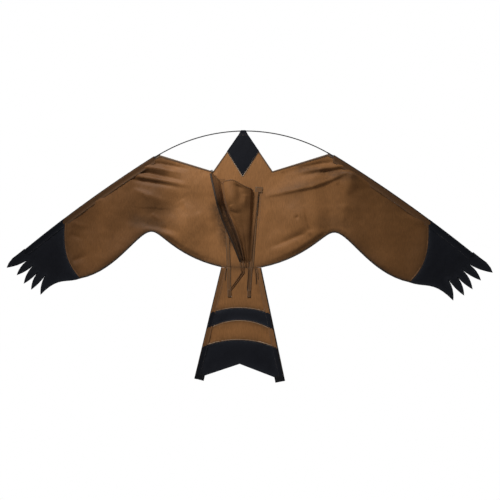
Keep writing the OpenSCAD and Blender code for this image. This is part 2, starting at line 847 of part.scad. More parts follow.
body_panel();
head_patch();
nose_sleeve();
bow_rod();
shoulder_tube(left);  // left_shoulder_tube
shoulder_tube(right);  // right_shoulder_tube
head_hem(left);  // left_head_hem
head_hem(right);  // right_head_hem
neck_hem(left);  // left_neck_hem
neck_hem(right);  // right_neck_hem
inner_hem(left);  // left_inner_hem
inner_hem(right);  // right_inner_hem
belly_tape(left);  // left_belly_tape
belly_tape(right);  // right_belly_tape
tape_patches();
belly_gusset();
wing_panel(left);  // left_wing_panel
wing_tip(left);  // left_wing_tip
leading_sleeve(left);  // left_leading_sleeve
tip_sleeve(left);  // left_tip_sleeve
wing_rod(left);  // left_wing_rod
rod_cap(left);  // left_rod_cap
wing_hem(left);  // left_wing_hem
wing_panel(right);  // right_wing_panel
wing_tip(right);  // right_wing_tip
leading_sleeve(right);  // right_leading_sleeve
tip_sleeve(right);  // right_tip_sleeve
wing_rod(right);  // right_wing_rod
rod_cap(right);  // right_rod_cap
wing_hem(right);  // right_wing_hem
tail_panel();
tail_band();
tail_lower_panel();
tail_end_panel();
tail_sleeve(left);  // left_tail_sleeve
tail_sleeve(right);  // right_tail_sleeve
tail_tab(left);  // left_tail_tab
tail_tab(right);  // right_tail_tab
tail_rod(left);  // left_tail_rod
tail_rod(right);  // right_tail_rod
tail_rod_caps();
tail_tape(left);  // left_tail_tape
tail_tape(right);  // right_tail_tape
lower_pleats();
belly_panel();
mouth_hem();
tow_loop();
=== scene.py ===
import json
import math

import bmesh
import bpy
import numpy as np
from mathutils import Matrix, Vector
from mathutils.geometry import delaunay_2d_cdt


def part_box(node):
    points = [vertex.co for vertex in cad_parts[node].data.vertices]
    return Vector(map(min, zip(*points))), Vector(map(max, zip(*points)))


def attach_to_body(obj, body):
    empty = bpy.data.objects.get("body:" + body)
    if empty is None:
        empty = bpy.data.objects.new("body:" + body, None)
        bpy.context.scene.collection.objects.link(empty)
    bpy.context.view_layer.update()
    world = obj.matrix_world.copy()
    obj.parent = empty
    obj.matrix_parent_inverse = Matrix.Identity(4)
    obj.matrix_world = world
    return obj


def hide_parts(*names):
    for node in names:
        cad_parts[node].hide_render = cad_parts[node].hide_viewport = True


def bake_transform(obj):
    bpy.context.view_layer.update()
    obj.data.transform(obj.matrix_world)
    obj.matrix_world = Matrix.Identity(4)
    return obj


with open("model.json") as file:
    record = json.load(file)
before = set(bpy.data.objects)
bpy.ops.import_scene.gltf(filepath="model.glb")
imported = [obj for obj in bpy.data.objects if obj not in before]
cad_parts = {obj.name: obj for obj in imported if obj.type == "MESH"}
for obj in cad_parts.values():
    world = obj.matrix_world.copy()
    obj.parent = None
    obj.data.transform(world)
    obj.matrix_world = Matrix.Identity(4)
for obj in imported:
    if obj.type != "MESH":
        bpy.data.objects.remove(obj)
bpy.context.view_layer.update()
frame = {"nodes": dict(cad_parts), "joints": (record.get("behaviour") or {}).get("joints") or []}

# Hawk kite, hanging with its head up and its belly to the front (-Y)
# Points in the plane of the kite are (x, z), "forward" is towards -Y

MM = 0.001
SIDES = {"left": -1, "right": 1}
JOINTS = {joint["name"]: joint for joint in frame["joints"]}
WRIST = JOINTS["right_wing_flap"]["pos_m"][0]
TAIL_HINGE = JOINTS["tail_tilt"]["pos_m"][2]

# Sizes of the cloth
HINGE_GAP = 0.9 * MM
CLOTH = 0.5 * MM
FRONT = 0.4 * MM
TILE = 3.4 * MM
TRIM_TILE = 1.3 * MM
FINE_TILE = 0.9 * MM
EDGE_CLEAR = 0.55
ROUNDING = 1.6 * MM
HEM = 4.0 * MM
HEM_THICK = 1.4 * MM
SEAM_NEAR = 0.2 * MM
WEAR_REACH = 9 * MM
WEAR_BELOW = -130 * MM
WEAR_EASE = 60 * MM
FLANGE_WEAR = 0.35
WELD = 1e-6
FACING = -0.5

# Rods and sleeves
BOW_RADIUS = 468 * MM
BOW_ROD = 1.6 * MM
ROD_GAP = 4 * MM
WING_RADIUS = 3600 * MM
TAIL_ROD = 1.5 * MM
LEAD_BORE = 3.55 * MM
LEAD_OUTER = 4.15 * MM
LEAD_WIDE = 16 * MM
LEAD_MOUTH = 1.8 * MM
LEAD_ROWS = (6.6 * MM, 14.4 * MM)
LEAD_STEP = 4 * MM
MOUTH_LONG = 14 * MM
MOUTH_STEP = 2 * MM
SLEEVE_LAP = 12 * MM
TIP_LAP = 6 * MM
TIP_COVER = 0.3 * MM
TAIL_BORE = 3.05 * MM
TAIL_OUTER = 3.65 * MM
TAIL_WIDE = 12.5 * MM
TAIL_MOUTH = 6.8 * MM
TAIL_ROWS = (0.55 * TAIL_WIDE, 0.86 * TAIL_WIDE)
NOSE_BORE = 1.9 * MM
NOSE_OUTER = 2.5 * MM
NOSE_WIDE = 14 * MM
NOSE_TOP = 7.6 * MM
NOSE_ROWS = (0.45 * NOSE_WIDE, 0.88 * NOSE_WIDE)
FLANGE = 1.0 * MM
RIM_FROM = 0.15
PUCKER_SPREAD = (0.2, 0.5, 0.8, 0.5, 0.2)
BLEND_REACH = 16 * MM
TUBE_HALF = 18 * MM
TUBE_BEND = 6 * MM

# Stitches
STITCH_PITCH = 4.2 * MM
CLOSE_PITCH = 3.6 * MM
STITCH_LONG = 3.2 * MM
STITCH_WIDE = 0.95 * MM
STITCH_HIGH = 0.35 * MM
SEAM_LEVEL = CLOTH / 2 + 0.1 * MM


def soft(t):
    """Smooth step from zero to one."""
    t = np.clip(t, 0, 1)
    return t * t * (3 - 2 * t)


def mm(points):
    """Places given in mm, as an array in metres."""
    return np.array(points, float) * MM


# Outlines from the frame

def outlines(node):
    """Closed outlines of a cloth solid, seen from the front, closed up to the hinges."""
    bm = bmesh.new()
    bm.from_mesh(frame["nodes"][node].data)
    bmesh.ops.remove_doubles(bm, verts=bm.verts, dist=WELD)
    bm.normal_update()
    facing = dict.fromkeys(face for face in bm.faces if face.normal.y < FACING)
    following = {}
    for face in facing:
        for loop in face.loops:
            if loop.link_loop_radial_next.face not in facing:
                following[loop.vert.index] = loop.link_loop_next.vert.index
    places = {vert.index: (vert.co.x, vert.co.z) for vert in bm.verts}
    bm.free()
    found = []
    while following:
        first, here = following.popitem()
        line = [first]
        while here != first:
            line.append(here)
            here = following.pop(here)
        found.append(np.array([closed_up(places[i]) for i in line]))
    return sorted(found, key=lambda line: line[:, 0].mean())


def closed_up(place):
    """Moves a point beside a hinge onto the hinge, and one just below the bow rod up to the rod."""
    x, z = place
    if abs(abs(x) - WRIST) < HINGE_GAP:
        x = math.copysign(WRIST, x)
    if abs(z - TAIL_HINGE) < 2 * HINGE_GAP:
        z = TAIL_HINGE
    if abs(x) <= WRIST:
        under = math.sqrt((BOW_RADIUS - BOW_ROD) ** 2 - x * x) - BOW_RADIUS
        if 0 < under - z < ROD_GAP:
            z = under
    return x, z


def segments(line, closed=True):
    """Starts and ends of a line's segments."""
    ends = np.roll(line, -1, axis=0)
    return list(zip(line, ends)) if closed else list(zip(line[:-1], line[1:]))


def off_hinge(line):
    """The segments of an outline that don't lie on a shoulder hinge."""
    on = np.abs(np.abs(line[:, 0]) - WRIST) < WELD
    return [part for part, held in zip(segments(line), on & np.roll(on, -1)) if not held]


def distance(points, parts):
    """Distance of each point from the nearest of some segments."""
    nearest = np.full(len(points), np.inf)
    for a, b in parts:
        run = b - a
        square = run @ run
        if square < WELD ** 2:
            continue
        away = points - a
        share = np.clip(away @ run / square, 0, 1)
        nearest = np.minimum(nearest, np.hypot(*(away - share[:, None] * run).T))
    return nearest


def inside(points, line):
    """True for the points within a closed outline."""
    x, z = points.T
    within = np.zeros(len(points), bool)
    for (ax, az), (bx, bz) in segments(line):
        if abs(az - bz) > 0:
            crosses = (az > z) != (bz > z)
            within ^= crosses & (x < ax + (z - az) * (bx - ax) / (bz - az))
    return within


def spaced(line, step, closed=True):
    """The line with points no farther apart than the step."""
    points = []
    for a, b in segments(line, closed):
        count = max(1, math.ceil(np.linalg.norm(b - a) / step))
        points += [a + (b - a) * i / count for i in range(count)]
    return np.array(points if closed else points + [line[-1]])


def tiled(line, step):
    """Small triangles over an outline: their points and corners, facing forward."""
    edge = spaced(line, step)
    low, high = edge.min(0), edge.max(0)
    rows = np.arange(low[1], high[1], step * math.sqrt(0.75))
    columns = np.arange(low[0], high[0], step)
    grid = np.array([(x + (k % 2) * step / 2, z) for k, z in enumerate(rows) for x in columns]).reshape(-1, 2)
    grid = grid[inside(grid, line)]
    grid = grid[distance(grid, segments(line)) > EDGE_CLEAR * step]
    points = [Vector(p) for p in np.vstack([edge, grid])]
    made = delaunay_2d_cdt(points, [], [list(range(len(edge)))], 1, WELD)
    flat = np.array([tuple(p) for p in made[0]])
    return flat, [tuple(face) for face in made[2]]


def open_part(line, chosen):
    """The chosen points of a closed outline as one open line, from where they begin."""
    start = next(i for i in range(len(line)) if chosen[i] and not chosen[i - 1])
    order = [(start + i) % len(line) for i in range(len(line))]
    return np.array([line[i] for i in order if chosen[i]])


def shared_edge(line, other):
    """The stretch of one outline that runs along another one, as an open line."""
    return open_part(line, distance(line, segments(other)) < SEAM_NEAR)


def moved_aside(line, step):
    """An open line moved to its left by a step."""
    run = np.gradient(line, axis=0)
    left = np.column_stack([-run[:, 1], run[:, 0]])
    return line + step * left / np.linalg.norm(left, axis=1)[:, None]


def toward(path, line):
    """1 where the left side of an open path lies within an outline, and -1 where its right side does."""
    probe = moved_aside(path, MM)[len(path) // 2][None]
    return 1 if inside(probe, line)[0] else -1


def ribbon(line, wide):
    """Outline of a narrow strip along an open line."""
    return np.vstack([moved_aside(line, -wide / 2), moved_aside(line, wide / 2)[::-1]])


# Meshes

def add_object(name, data):
    made = bpy.data.objects.new(name, data)
    bpy.context.scene.collection.objects.link(made)
    return made


def add_mesh(name, points, faces, materials):
    mesh = bpy.data.meshes.new(name)
    mesh.from_pydata([tuple(p) for p in points], [], faces)
    mesh.polygons.foreach_set("use_smooth", [True] * len(mesh.polygons))
    for material in materials:
        mesh.materials.append(material)
    return add_object(name, mesh)


def outward(piece):
    """Turns the faces of a closed mesh outward."""
    bm = bmesh.new()
    bm.from_mesh(piece.data)
    bmesh.ops.recalc_face_normals(bm, faces=bm.faces)
    bm.to_mesh(piece.data)
    bm.free()
    return piece


def set_wear_and_shade(piece, values):
    """How scuffed and soiled each point of the cloth is, with the painted shade on the sails and the pouch
    added in, from zero to one.
    """
    wear_and_shade_mark = piece.data.attributes.new("wear_and_shade", "FLOAT", "POINT")
    wear_and_shade_mark.data.foreach_set("value", np.asarray(values, np.float32))


def thicken(piece, thick):
    """Gives an open sheet its thickness, with crisp edges."""
    bm = bmesh.new()
    bm.from_mesh(piece.data)
    for edge in bm.edges:
        edge.smooth = not edge.is_boundary
    bm.to_mesh(piece.data)
    bm.free()
    made = piece.modifiers.new("thickness", "SOLIDIFY")
    made.thickness = thick
    made.offset = 0
    return piece


# Painted shade on the sails: a painted shadow under the pouch's loose edge, and painted shade along the
# deepest creases and over darker patches of the wings
# A line in mm, how far the painted shade spreads from it in mm, and how strong it is
PAINTED_SHADE_LINES = [
    ([(-70, -218), (-62, -242), (-48, -284), (-38, -312)], 19, 1.0),
    ([(165, -106), (225, -116), (306, -130)], 16, 0.72),
    ([(-262, -220), (-206, -226), (-190, -262)], 24, 0.40),
    ([(-304, -252), (-232, -264)], 20, 0.75),
    ([(228, -258), (288, -264)], 18, 0.42),
    ([(110, -170), (193, -150), (250, -129), (300, -108)], 12, 0.45),
    ([(62, -180), (150, -180)], 22, 0.24),
]


def sail(name, line, depth, material, at=0.0):
    """One panel of cloth over an outline, moved forward by a depth at each point."""
    flat, faces = tiled(line, TILE)
    reach = distance(flat, off_hinge(line))
    forward = depth(flat, reach)
    piece = add_mesh(name, np.column_stack([flat[:, 0], -at - forward, flat[:, 1]]), faces, [material])
    wear_and_shade_mark = np.exp(-reach / WEAR_REACH) * soft((WEAR_BELOW - flat[:, 1]) / WEAR_EASE)
    # Painted shade along the shade lines joins the scuffing of the lower edges
    for shade_line, wide, share in PAINTED_SHADE_LINES:
        away = distance(flat, segments(mm(shade_line), closed=False))
        wear_and_shade_mark = np.maximum(wear_and_shade_mark, share * np.exp(-(away / (wide * MM)) ** 2))
    set_wear_and_shade(piece, wear_and_shade_mark)
    return thicken(piece, CLOTH)


def strip(name, line, thick, materials, at=0.0, rounding=ROUNDING, back=1.0, step=TRIM_TILE):
    """A closed strip of folded cloth over an outline, with round edges."""
    flat, faces = tiled(line, step)
    reach = distance(flat, segments(line))
    rise = thick / 2 * np.sqrt(1 - (1 - np.clip(reach / rounding, 0, 1)) ** 2)
    rim = reach < WELD * 10
    under = np.where(rim, np.arange(len(flat)), len(flat) + np.cumsum(~rim) - 1)
    front = np.column_stack([flat[:, 0], -at - rise, flat[:, 1]])
    rear = np.column_stack([flat[:, 0], -at + back * rise, flat[:, 1]])[~rim]
    turned = [tuple(int(under[i]) for i in reversed(face)) for face in faces]
    turned = [face for face in turned if max(face) >= len(flat)]
    piece = add_mesh(name, np.vstack([front, rear]), faces + turned, materials)
    wear_and_shade_mark = 1 - reach / reach.max()
    set_wear_and_shade(piece, np.concatenate([wear_and_shade_mark, wear_and_shade_mark[~rim]]))
    return piece


def row_faces(rows, wide, first=0, ring=True):
    """Four-sided faces between rows of points, each row closed into a ring or left open."""
    faces = []
    for k in range(rows - 1):
        for i in range(wide if ring else wide - 1):
            a = first + k * wide + i
            b = first + k * wide + (i + 1) % wide
            faces.append((a, a + wide, b + wide, b))
    return faces


def tube_faces(rows, wide):
    """Faces of a tube: its outer rings, as many inner ones after them, and the bands at both ends."""
    inner = rows * wide
    faces = row_faces(rows, wide) + row_faces(rows, wide, inner)
    for first in (0, inner - wide):
        for i in range(wide):
            a, b = first + i, first + (i + 1) % wide
            faces.append((a, b, inner + b, inner + a))
    return faces


def swept(name, outer, inner, stations, materials, pucker=0.0, seed=0):
    """A sleeve: two sections carried along stations, joined at both ends.
    A station is (place, direction away from the panel, share of the flange's width)."""
    count = len(stations)
    rng = np.random.default_rng(seed)
    ripple = np.convolve(rng.normal(0, 1, count + 4), PUCKER_SPREAD, "valid")
    points = []
    for section, high in ((outer, pucker), (inner, 0.0)):
        for (place, away, flange), wave in zip(stations, ripple):
            for a, b in section:
                x, z = place + (a if a > 0 else a * flange) * away
                points.append((x, -b - high * wave * min(1, abs(a) / LEAD_WIDE), z))
    piece = outward(add_mesh(name, points, tube_faces(count, len(outer)), materials))
    set_wear_and_shade(piece, np.tile([FLANGE_WEAR * soft(-a / LEAD_WIDE) for a, b in outer], 2 * count))
    return piece


def darken_rim(piece, outer, count, slot):
    """Gives the fold of a sleeve another material along the rod's outer side."""
    wide = len(outer)
    crown = RIM_FROM * max(a for a, b in outer)
    dark = [a > crown for a, b in outer]
    for face in piece.data.polygons:
        corners = [i for i in face.vertices if i < wide * count]
        if len(corners) == 4 and all(dark[i % wide] for i in corners):
            face.material_index = slot


def sleeve_section(outer, wide, flange):
    """Half teardrop and half flange: cloth round a rod, sewn flat beside it."""
    turn = [math.radians(angle) for angle in range(-120, 121, 20)]
    tube = [(outer * math.cos(t), outer * math.sin(t)) for t in turn]
    taper = [(-1.25 * outer, 0.62 * outer), (-1.9 * outer, 0.30 * outer + 0.3 * flange)]
    plain = [(-0.62 * wide, flange), (-0.80 * wide, flange), (-0.94 * wide, flange), (-wide, 0.5 * flange)]
    rear = [(a, -b) for a, b in reversed(taper + plain)]
    return rear + tube + taper + plain


def bore_section(outer_section, bore):
    """The round hollow of a sleeve, with one point for each of the outer section."""
    turn = [math.atan2(b, a) for a, b in outer_section]
    return [(bore * math.cos(t), bore * math.sin(t)) for t in turn]


# Thread

class Thread:
    """Rows of stitches on one body, gathered into one piece."""

    def __init__(self, name):
        self.name = name
        self.points = []
        self.faces = []

    def row(self, line, forward, both=True, pitch=STITCH_PITCH):
        """Stitches along an open line, on a surface that lies forward of the plane of the kite."""
        line = np.asarray(line, float)
        along = np.concatenate([[0], np.cumsum(np.hypot(*np.diff(line, axis=0).T))])
        for s in np.arange(pitch / 2, along[-1], pitch):
            behind, place, ahead = (
                np.array([np.interp(t, along, line[:, k]) for k in (0, 1)])
                for t in (s - pitch / 4, s, s + pitch / 4)
            )
            run = (ahead - behind) / max(np.linalg.norm(ahead - behind), WELD)
            level = forward(place) if callable(forward) else forward
            for side in (-1, 1) if both else (-1,):
                self.stitch((place[0], side * level, place[1]), (run[0], 0, run[1]), (0, side, 0))

    def stitch(self, place, run, up):
        """One stitch: a small spindle that lies on the cloth."""
        place, run, up = Vector(place), Vector(run), Vector(up)
        side = run.cross(up)
        first = len(self.points)
        self.points += [
            place - run * STITCH_LONG / 2,
            place + side * STITCH_WIDE / 2,
            place + up * STITCH_HIGH,
            place - side * STITCH_WIDE / 2,
            place - up * STITCH_HIGH,
            place + run * STITCH_LONG / 2,
        ]
        for i in range(4):
            a, b = first + 1 + i, first + 1 + (i + 1) % 4
            self.faces += [(first, b, a), (first + 5, a, b)]

    def made(self, material):
        return outward(add_mesh(self.name, self.points, self.faces, [material]))


# Materials

WAVE_UNIT = math.pi / 20


class Nodes:
    """Short hand for the nodes of one material, or of the world."""

    def __init__(self, owner):
        owner.use_nodes = True
        self.owner = owner
        self.tree = owner.node_tree
        self.out = next(node for node in self.tree.nodes if node.type.startswith("OUTPUT"))
        self.shader = next(node for node in self.tree.nodes if node != self.out)
        self.place = None

    @classmethod
    def material(cls, name):
        nodes = cls(bpy.data.materials.new(name))
        nodes.place = nodes.add("ShaderNodeTexCoord").outputs["Object"]
        return nodes

    def add(self, kind, links=None, **values):
        made = self.tree.nodes.new(kind)
        for key, value in values.items():
            setattr(made, key, value)
        for socket, source in (links or {}).items():
            if isinstance(source, bpy.types.NodeSocket):
                self.tree.links.new(source, made.inputs[socket])
            else:
                made.inputs[socket].default_value = source
        return made

    def drive(self, socket, source):
        """Joins a node's output to a socket of the shader."""
        self.tree.links.new(source, self.shader.inputs[socket])

    def noise(self, scale, detail=2.0, stretch=(1, 1, 1)):
        mapped = self.add("ShaderNodeMapping", {"Vector": self.place, "Scale": stretch})
        links = {"Vector": mapped.outputs[0], "Scale": scale, "Detail": detail}
        return self.add("ShaderNodeTexNoise", links).outputs["Fac"]

    def ramp(self, value, low, dark, high, pale):
        """Two colours over a value, from one place to another."""
        ramp = self.add("ShaderNodeValToRGB", {"Fac": value})
        for mark, place, colour in zip(ramp.color_ramp.elements, (low, high), (dark, pale)):
            mark.position = place
            mark.color = (*colour, 1)
        return ramp.outputs["Color"]

    def mix(self, share, first, second, how="MIX"):
        colours = [c if isinstance(c, bpy.types.NodeSocket) else (*c, 1) for c in (first, second)]
        links = {0: share, 6: colours[0], 7: colours[1]}
        return self.add("ShaderNodeMix", links, data_type="RGBA", blend_type=how).outputs[2]

    def math(self, how, first, second):
        return self.add("ShaderNodeMath", {0: first, 1: second}, operation=how).outputs[0]

    def waves(self, vector, pitch, across):
        links = {"Vector": vector, "Scale": WAVE_UNIT / pitch}
        return self.add("ShaderNodeTexWave", links, bands_direction=across).outputs["Fac"]

    def painted_band(self, base_colour, axis, start, end, tint):
        """Painted shade that darkens from one place along an axis to another, with a ragged border; a tint
        above one paints light there instead.
        """
        along = self.add("ShaderNodeSeparateXYZ", {"Vector": self.place}).outputs[axis]
        ragged = self.math("ADD", along, self.math("MULTIPLY", self.noise(14, 3), 0.03))
        links = {"Value": ragged, "From Min": start, "From Max": end}
        share = self.add("ShaderNodeMapRange", links, interpolation_type="SMOOTHSTEP").outputs[0]
        return self.mix(1.0, base_colour, self.mix(share, (1, 1, 1), tint), "MULTIPLY")

    def bump(self, height, strength, depth):
        links = {"Height": height, "Strength": strength, "Distance": depth}
        self.drive("Normal", self.add("ShaderNodeBump", links).outputs[0])

    def gloss(self, source, low, high):
        links = {"Value": source, "To Min": low, "To Max": high}
        self.drive("Roughness", self.add("ShaderNodeMapRange", links).outputs[0])

    def set(self, **values):
        for key, value in values.items():
            self.shader.inputs[key.replace("_", " ")].default_value = value
        return self.owner

    def white_to_camera(self, kind):
        """Shows white to the camera and to mirrors, and the plain shader to all other light.
        Gives where white is seen, and the node whose share is still to be set."""
        path = self.add("ShaderNodeLightPath").outputs
        seen = self.math("MAXIMUM", path["Is Camera Ray"], path["Is Glossy Ray"])
        seen = self.math("MAXIMUM", seen, path["Is Transmission Ray"])
        white = self.add(kind, {"Color": (1, 1, 1, 1), "Strength": 1})
        mix = self.add("ShaderNodeMixShader", {1: self.shader.outputs[0], 2: white.outputs[0]})
        self.tree.links.new(mix.outputs[0], self.out.inputs["Surface"])
        return seen, mix


def grey(value):
    return (value, value, value)


def scaled(colour, share):
    return tuple(min(1, c * share) for c in colour)


def cloth(name, colour, wear_and_shade_mark, sheen, vary=0.16, rough=(0.50, 0.62), sheen_tint=(1, 1, 1, 1),
          pitch=0.55 * MM, shine=0.16, painted_shading=()):
    """Woven polyester: fine threads, soft patches of lighter and darker dye, bands of painted light and shade
    along an axis, and soiled and scuffed stretches, with painted shade, in a colour of their own."""
    nodes = Nodes.material(name)
    patches = nodes.noise(9, 3, (1, 1, 0.6))
    dye = nodes.ramp(patches, 0.30, scaled(colour, 1 - vary), 0.70, scaled(colour, 1 + vary))
    flecks = nodes.ramp(nodes.noise(900, 1, (1, 1, 0.08)), 0.35, grey(0.86), 0.65, grey(1.10))
    base_colour = nodes.mix(1.0, dye, flecks, "MULTIPLY")
    # Bands of painted light and shade
    for shade in painted_shading:
        base_colour = nodes.painted_band(base_colour, *shade)
    # The attribute holds scuffing and soil, and on the sails and the pouch painted shade too, mixed in the
    # cloth's second colour
    wear_and_shade = nodes.add("ShaderNodeAttribute", attribute_name="wear_and_shade").outputs["Fac"]
    wear_and_shade_share = nodes.math("MULTIPLY", wear_and_shade, nodes.math("ADD", nodes.noise(160, 2), 0.3))
    nodes.drive("Base Color", nodes.mix(wear_and_shade_share, base_colour, wear_and_shade_mark))
    nodes.gloss(patches, *rough)
    warp, weft = (nodes.waves(nodes.place, pitch, across) for across in "XZ")
    nodes.bump(nodes.math("MULTIPLY", warp, weft), 0.25, 0.12 * MM)
    return nodes.set(Sheen_Weight=sheen, Sheen_Roughness=0.45, Sheen_Tint=sheen_tint,
                     Specular_IOR_Level=shine)


def webbing(name, colour):
    """Coarse woven tape with slanted ribs."""
    nodes = Nodes.material(name)
    slant = nodes.add("ShaderNodeMapping", {"Vector": nodes.place, "Rotation": (0, 0.7, 0)})
    ribs = nodes.waves(slant.outputs[0], 1.1 * MM, "X")
    dye = nodes.ramp(ribs, 0.0, scaled(colour, 0.55), 1.0, scaled(colour, 1.35))
    patches = nodes.noise(40, 2)
    shade = nodes.ramp(patches, 0.3, grey(0.85), 0.7, grey(1.1))
    nodes.drive("Base Color", nodes.mix(1.0, dye, shade, "MULTIPLY"))
    nodes.gloss(patches, 0.55, 0.75)
    nodes.bump(ribs, 0.5, 0.25 * MM)
    return nodes.set(Sheen_Weight=0.03, Specular_IOR_Level=0.06)


def finish(name, grain, colours, rough, bump=None, **values):
    """A plain finish: one grain sets its colour, its gloss and its relief."""
    nodes = Nodes.material(name)
    value = nodes.noise(*grain)
    nodes.drive("Base Color", nodes.ramp(value, *colours))
    nodes.gloss(value, *rough)
    if bump:
        nodes.bump(value, *bump)
    return nodes.set(**values)


def thread_finish(name, colour):
    """Twisted sewing thread."""
    colours = (0.3, scaled(colour, 0.6), 0.7, scaled(colour, 1.3))
    return finish(name, (2500, 2), colours, (0.4, 0.6), Sheen_Weight=0.2)


BROWN = (0.248, 0.112, 0.039)
BLACK = (0.0085, 0.0092, 0.0125)
BLUISH = {"rough": (0.46, 0.58), "sheen_tint": (0.75, 0.82, 1, 1), "shine": 0.05}
# Painted light and shade on the sail cloth, in bands across the wings and the tail: axis, where it begins and
# where it is full in metres, and its tint, under one for painted shade and over one for painted light
SAIL_PAINTED_LIGHT_AND_SHADE = [
    ("X", -0.155, -0.230, (0.54, 0.525, 0.51)),
    ("X", -0.285, -0.350, (1.24, 1.24, 1.24)),
    ("X", -0.345, -0.385, (1.15, 1.15, 1.15)),
    ("X", -0.425, -0.455, (0.87, 0.87, 0.87)),
    ("X", 0.285, 0.335, (0.60, 0.585, 0.545)),
    ("Z", -0.400, -0.500, (1.17, 1.16, 1.15)),
]
# Painted shade on the pouch, darker towards its lower end
POUCH_PAINTED_SHADE = [("Z", -0.215, -0.290, (0.50, 0.48, 0.45))]
# The sail cloth takes the bands of painted light and shade; its second colour, and the pouch cloth's, also
# colours their painted shade
brown_cloth = cloth("brown_cloth", BROWN, (0.060, 0.030, 0.013), 0.03, shine=0.10, painted_shading=SAIL_PAINTED_LIGHT_AND_SHADE)
# A darker copy of the sail cloth for the pouch, its gathers, its mouth hem and its gusset: painted shade
shaded_belly_cloth = cloth("shaded_belly_cloth", scaled(BROWN, 0.80), (0.038, 0.019, 0.009), 0.03, shine=0.10,
                    painted_shading=POUCH_PAINTED_SHADE)
sleeve_cloth = cloth("sleeve_cloth", scaled(BROWN, 0.36), (0.14, 0.075, 0.036), 0.05)
tail_sleeve_cloth = cloth("tail_sleeve_cloth", scaled(BROWN, 0.74), (0.24, 0.12, 0.055), 0.06)
tape_cloth = cloth("tape_cloth", scaled(BROWN, 0.60), (0.13, 0.07, 0.03), 0.04, pitch=0.8 * MM)
hem_cloth = cloth("hem_cloth", (0.020, 0.013, 0.009), (0.045, 0.028, 0.018), 0.04, shine=0.08)
neck_cloth = cloth("neck_cloth", (0.105, 0.066, 0.040), (0.16, 0.10, 0.06), 0.08)
# The pale seam cloth paints the highlight along the fold of the seams beside black cloth
seam_highlight_cloth = cloth("seam_highlight_cloth", (0.30, 0.20, 0.125), (0.36, 0.25, 0.16), 0.10)
black_cloth = cloth("black_cloth", BLACK, (0.02, 0.022, 0.028), 0.02, **BLUISH)
# The head's black is painted darker than the other black cloth, as painted shade where the lamp lights the
# head more
shaded_head_cloth = cloth("shaded_head_cloth", scaled(BLACK, 0.75), (0.015, 0.017, 0.021), 0.02, **BLUISH)
black_edge = cloth("black_edge", scaled(BLACK, 0.5), (0.010, 0.011, 0.014), 0.01, shine=0.04)
black_webbing = webbing("black_webbing", (0.0075, 0.0078, 0.0095))
dark_thread = thread_finish("dark_thread", (0.020, 0.013, 0.009))
brown_thread = thread_finish("brown_thread", (0.11, 0.06, 0.03))
# Pulled glass fibre, dark with fine pale fibres along it, and soft dull tubing with a dusty bloom
rod_finish = finish("rod_finish", (700, 3, (0.15, 1, 1)), (0.35, (0.008, 0.008, 0.009), 0.75, grey(0.030)),
                    (0.32, 0.52), (0.2, 0.1 * MM), Specular_IOR_Level=0.04)
tube_finish = finish("tube_finish", (260, 4), (0.35, (0.014, 0.014, 0.015), 0.8, (0.05, 0.05, 0.052)),
                     (0.55, 0.8), (0.15, 0.1 * MM), Specular_IOR_Level=0.35)


# Folds of the sails: a line in mm from its strong end to its fading end, its width above
# and below the line in mm, and its height in mm, forward where it is positive
LEFT_FOLDS = [
    ([(-262, -86), (-150, -107), (-120, -113)], 5, 6, -4.0),
    ([(-300, -97), (-240, -106), (-140, -126)], 6, 6, 4.0),
    ([(-322, -101), (-264, -118), (-176, -138), (-140, -147)], 6, 7, -5.4),
    ([(-314, -125), (-234, -138), (-130, -161)], 7, 6, 4.6),
    ([(-326, -133), (-234, -149), (-140, -167)], 6, 6, -5.0),
    ([(-322, -160), (-263, -182), (-176, -214)], 9, 26, 4.4),
    ([(-216, -296), (-198, -220), (-206, -160)], 60, 34, -11.0),
    ([(-286, -170), (-262, -196)], 5, 6, 2.0),
    ([(-258, -232), (-228, -256)], 5, 6, 2.4),
    ([(-172, -192), (-140, -240)], 10, 14, 2.4),
    ([(-122, -225), (-100, -292)], 12, 14, 1.2),
    ([(-56, -294), (-69, -245), (-80, -206)], 10, 12, -5.0),
]
RIGHT_FOLDS = [
    ([(252, -88), (148, -105)], 5, 6, -4.4),
    ([(300, -97), (210, -110), (138, -122)], 6, 5, 3.6),
    ([(304, -106), (201, -120), (128, -135)], 6, 6, -5.0),
    ([(304, -113), (242, -141), (193, -160), (90, -181), (0, -198)], 13, 3.8, 4.8),
    ([(306, -110), (298, -150), (292, -194)], 24, 40, 12.0),
    ([(262, -146), (284, -178), (292, -190)], 4, 6, -2.6),
    ([(189, -289), (178, -245), (169, -210)], 12, 9, -4.4),
    ([(190, -296), (173, -245), (165, -208)], 4.5, 4, 2.4),
    ([(158, -240), (144, -250)], 4, 5, -2.8),
    ([(187, -282), (79, -328), (50, -342)], 12, 9, -5.0),
    ([(284, -200), (281, -245), (270, -290)], 18, 18, 3.0),
]
OUTER_FOLDS = [
    ([(-494, -257), (-428, -276)], 8, 12, 2.2),
    ([(-494, -290), (-442, -312)], 8, 9, -2.8),
    ([(-486, -370), (-430, -348)], 9, 9, -3.4),
    ([(-409, -178), (-366, -296)], 16, 20, 3.0),
    ([(500, -262), (426, -231)], 9, 10, 2.6),
    ([(322, -165), (367, -279)], 16, 18, 3.0),
]
CREST_POWER = 1.5
CREST_RISE = 6
CREST_FADE = 1.7
WING_BILLOW = -5 * MM
INNER_BILLOW = 7 * MM
BILLOW_REACH = 60 * MM
FOLD_FADE = 11 * MM
FLAT_HALF = 56 * MM
FLAT_EASE = 22 * MM
WIDE_EASE = 110 * MM
EDGE_ROLL = 5.5 * MM
ROLL_REACH = 15 * MM
ROLL_BELOW = -190 * MM
ROLL_EASE = 60 * MM
ROLL_INNER = 50 * MM
WING_SLACK = 1.2 * MM
WING_SEED = 5
SLACK_WAVE = 120 * MM
FINE_SLACK = 0.22 * MM
FINE_WAVE = 26 * MM
PUCKER = 0.35 * MM
PUCKER_WAVE = 14 * MM
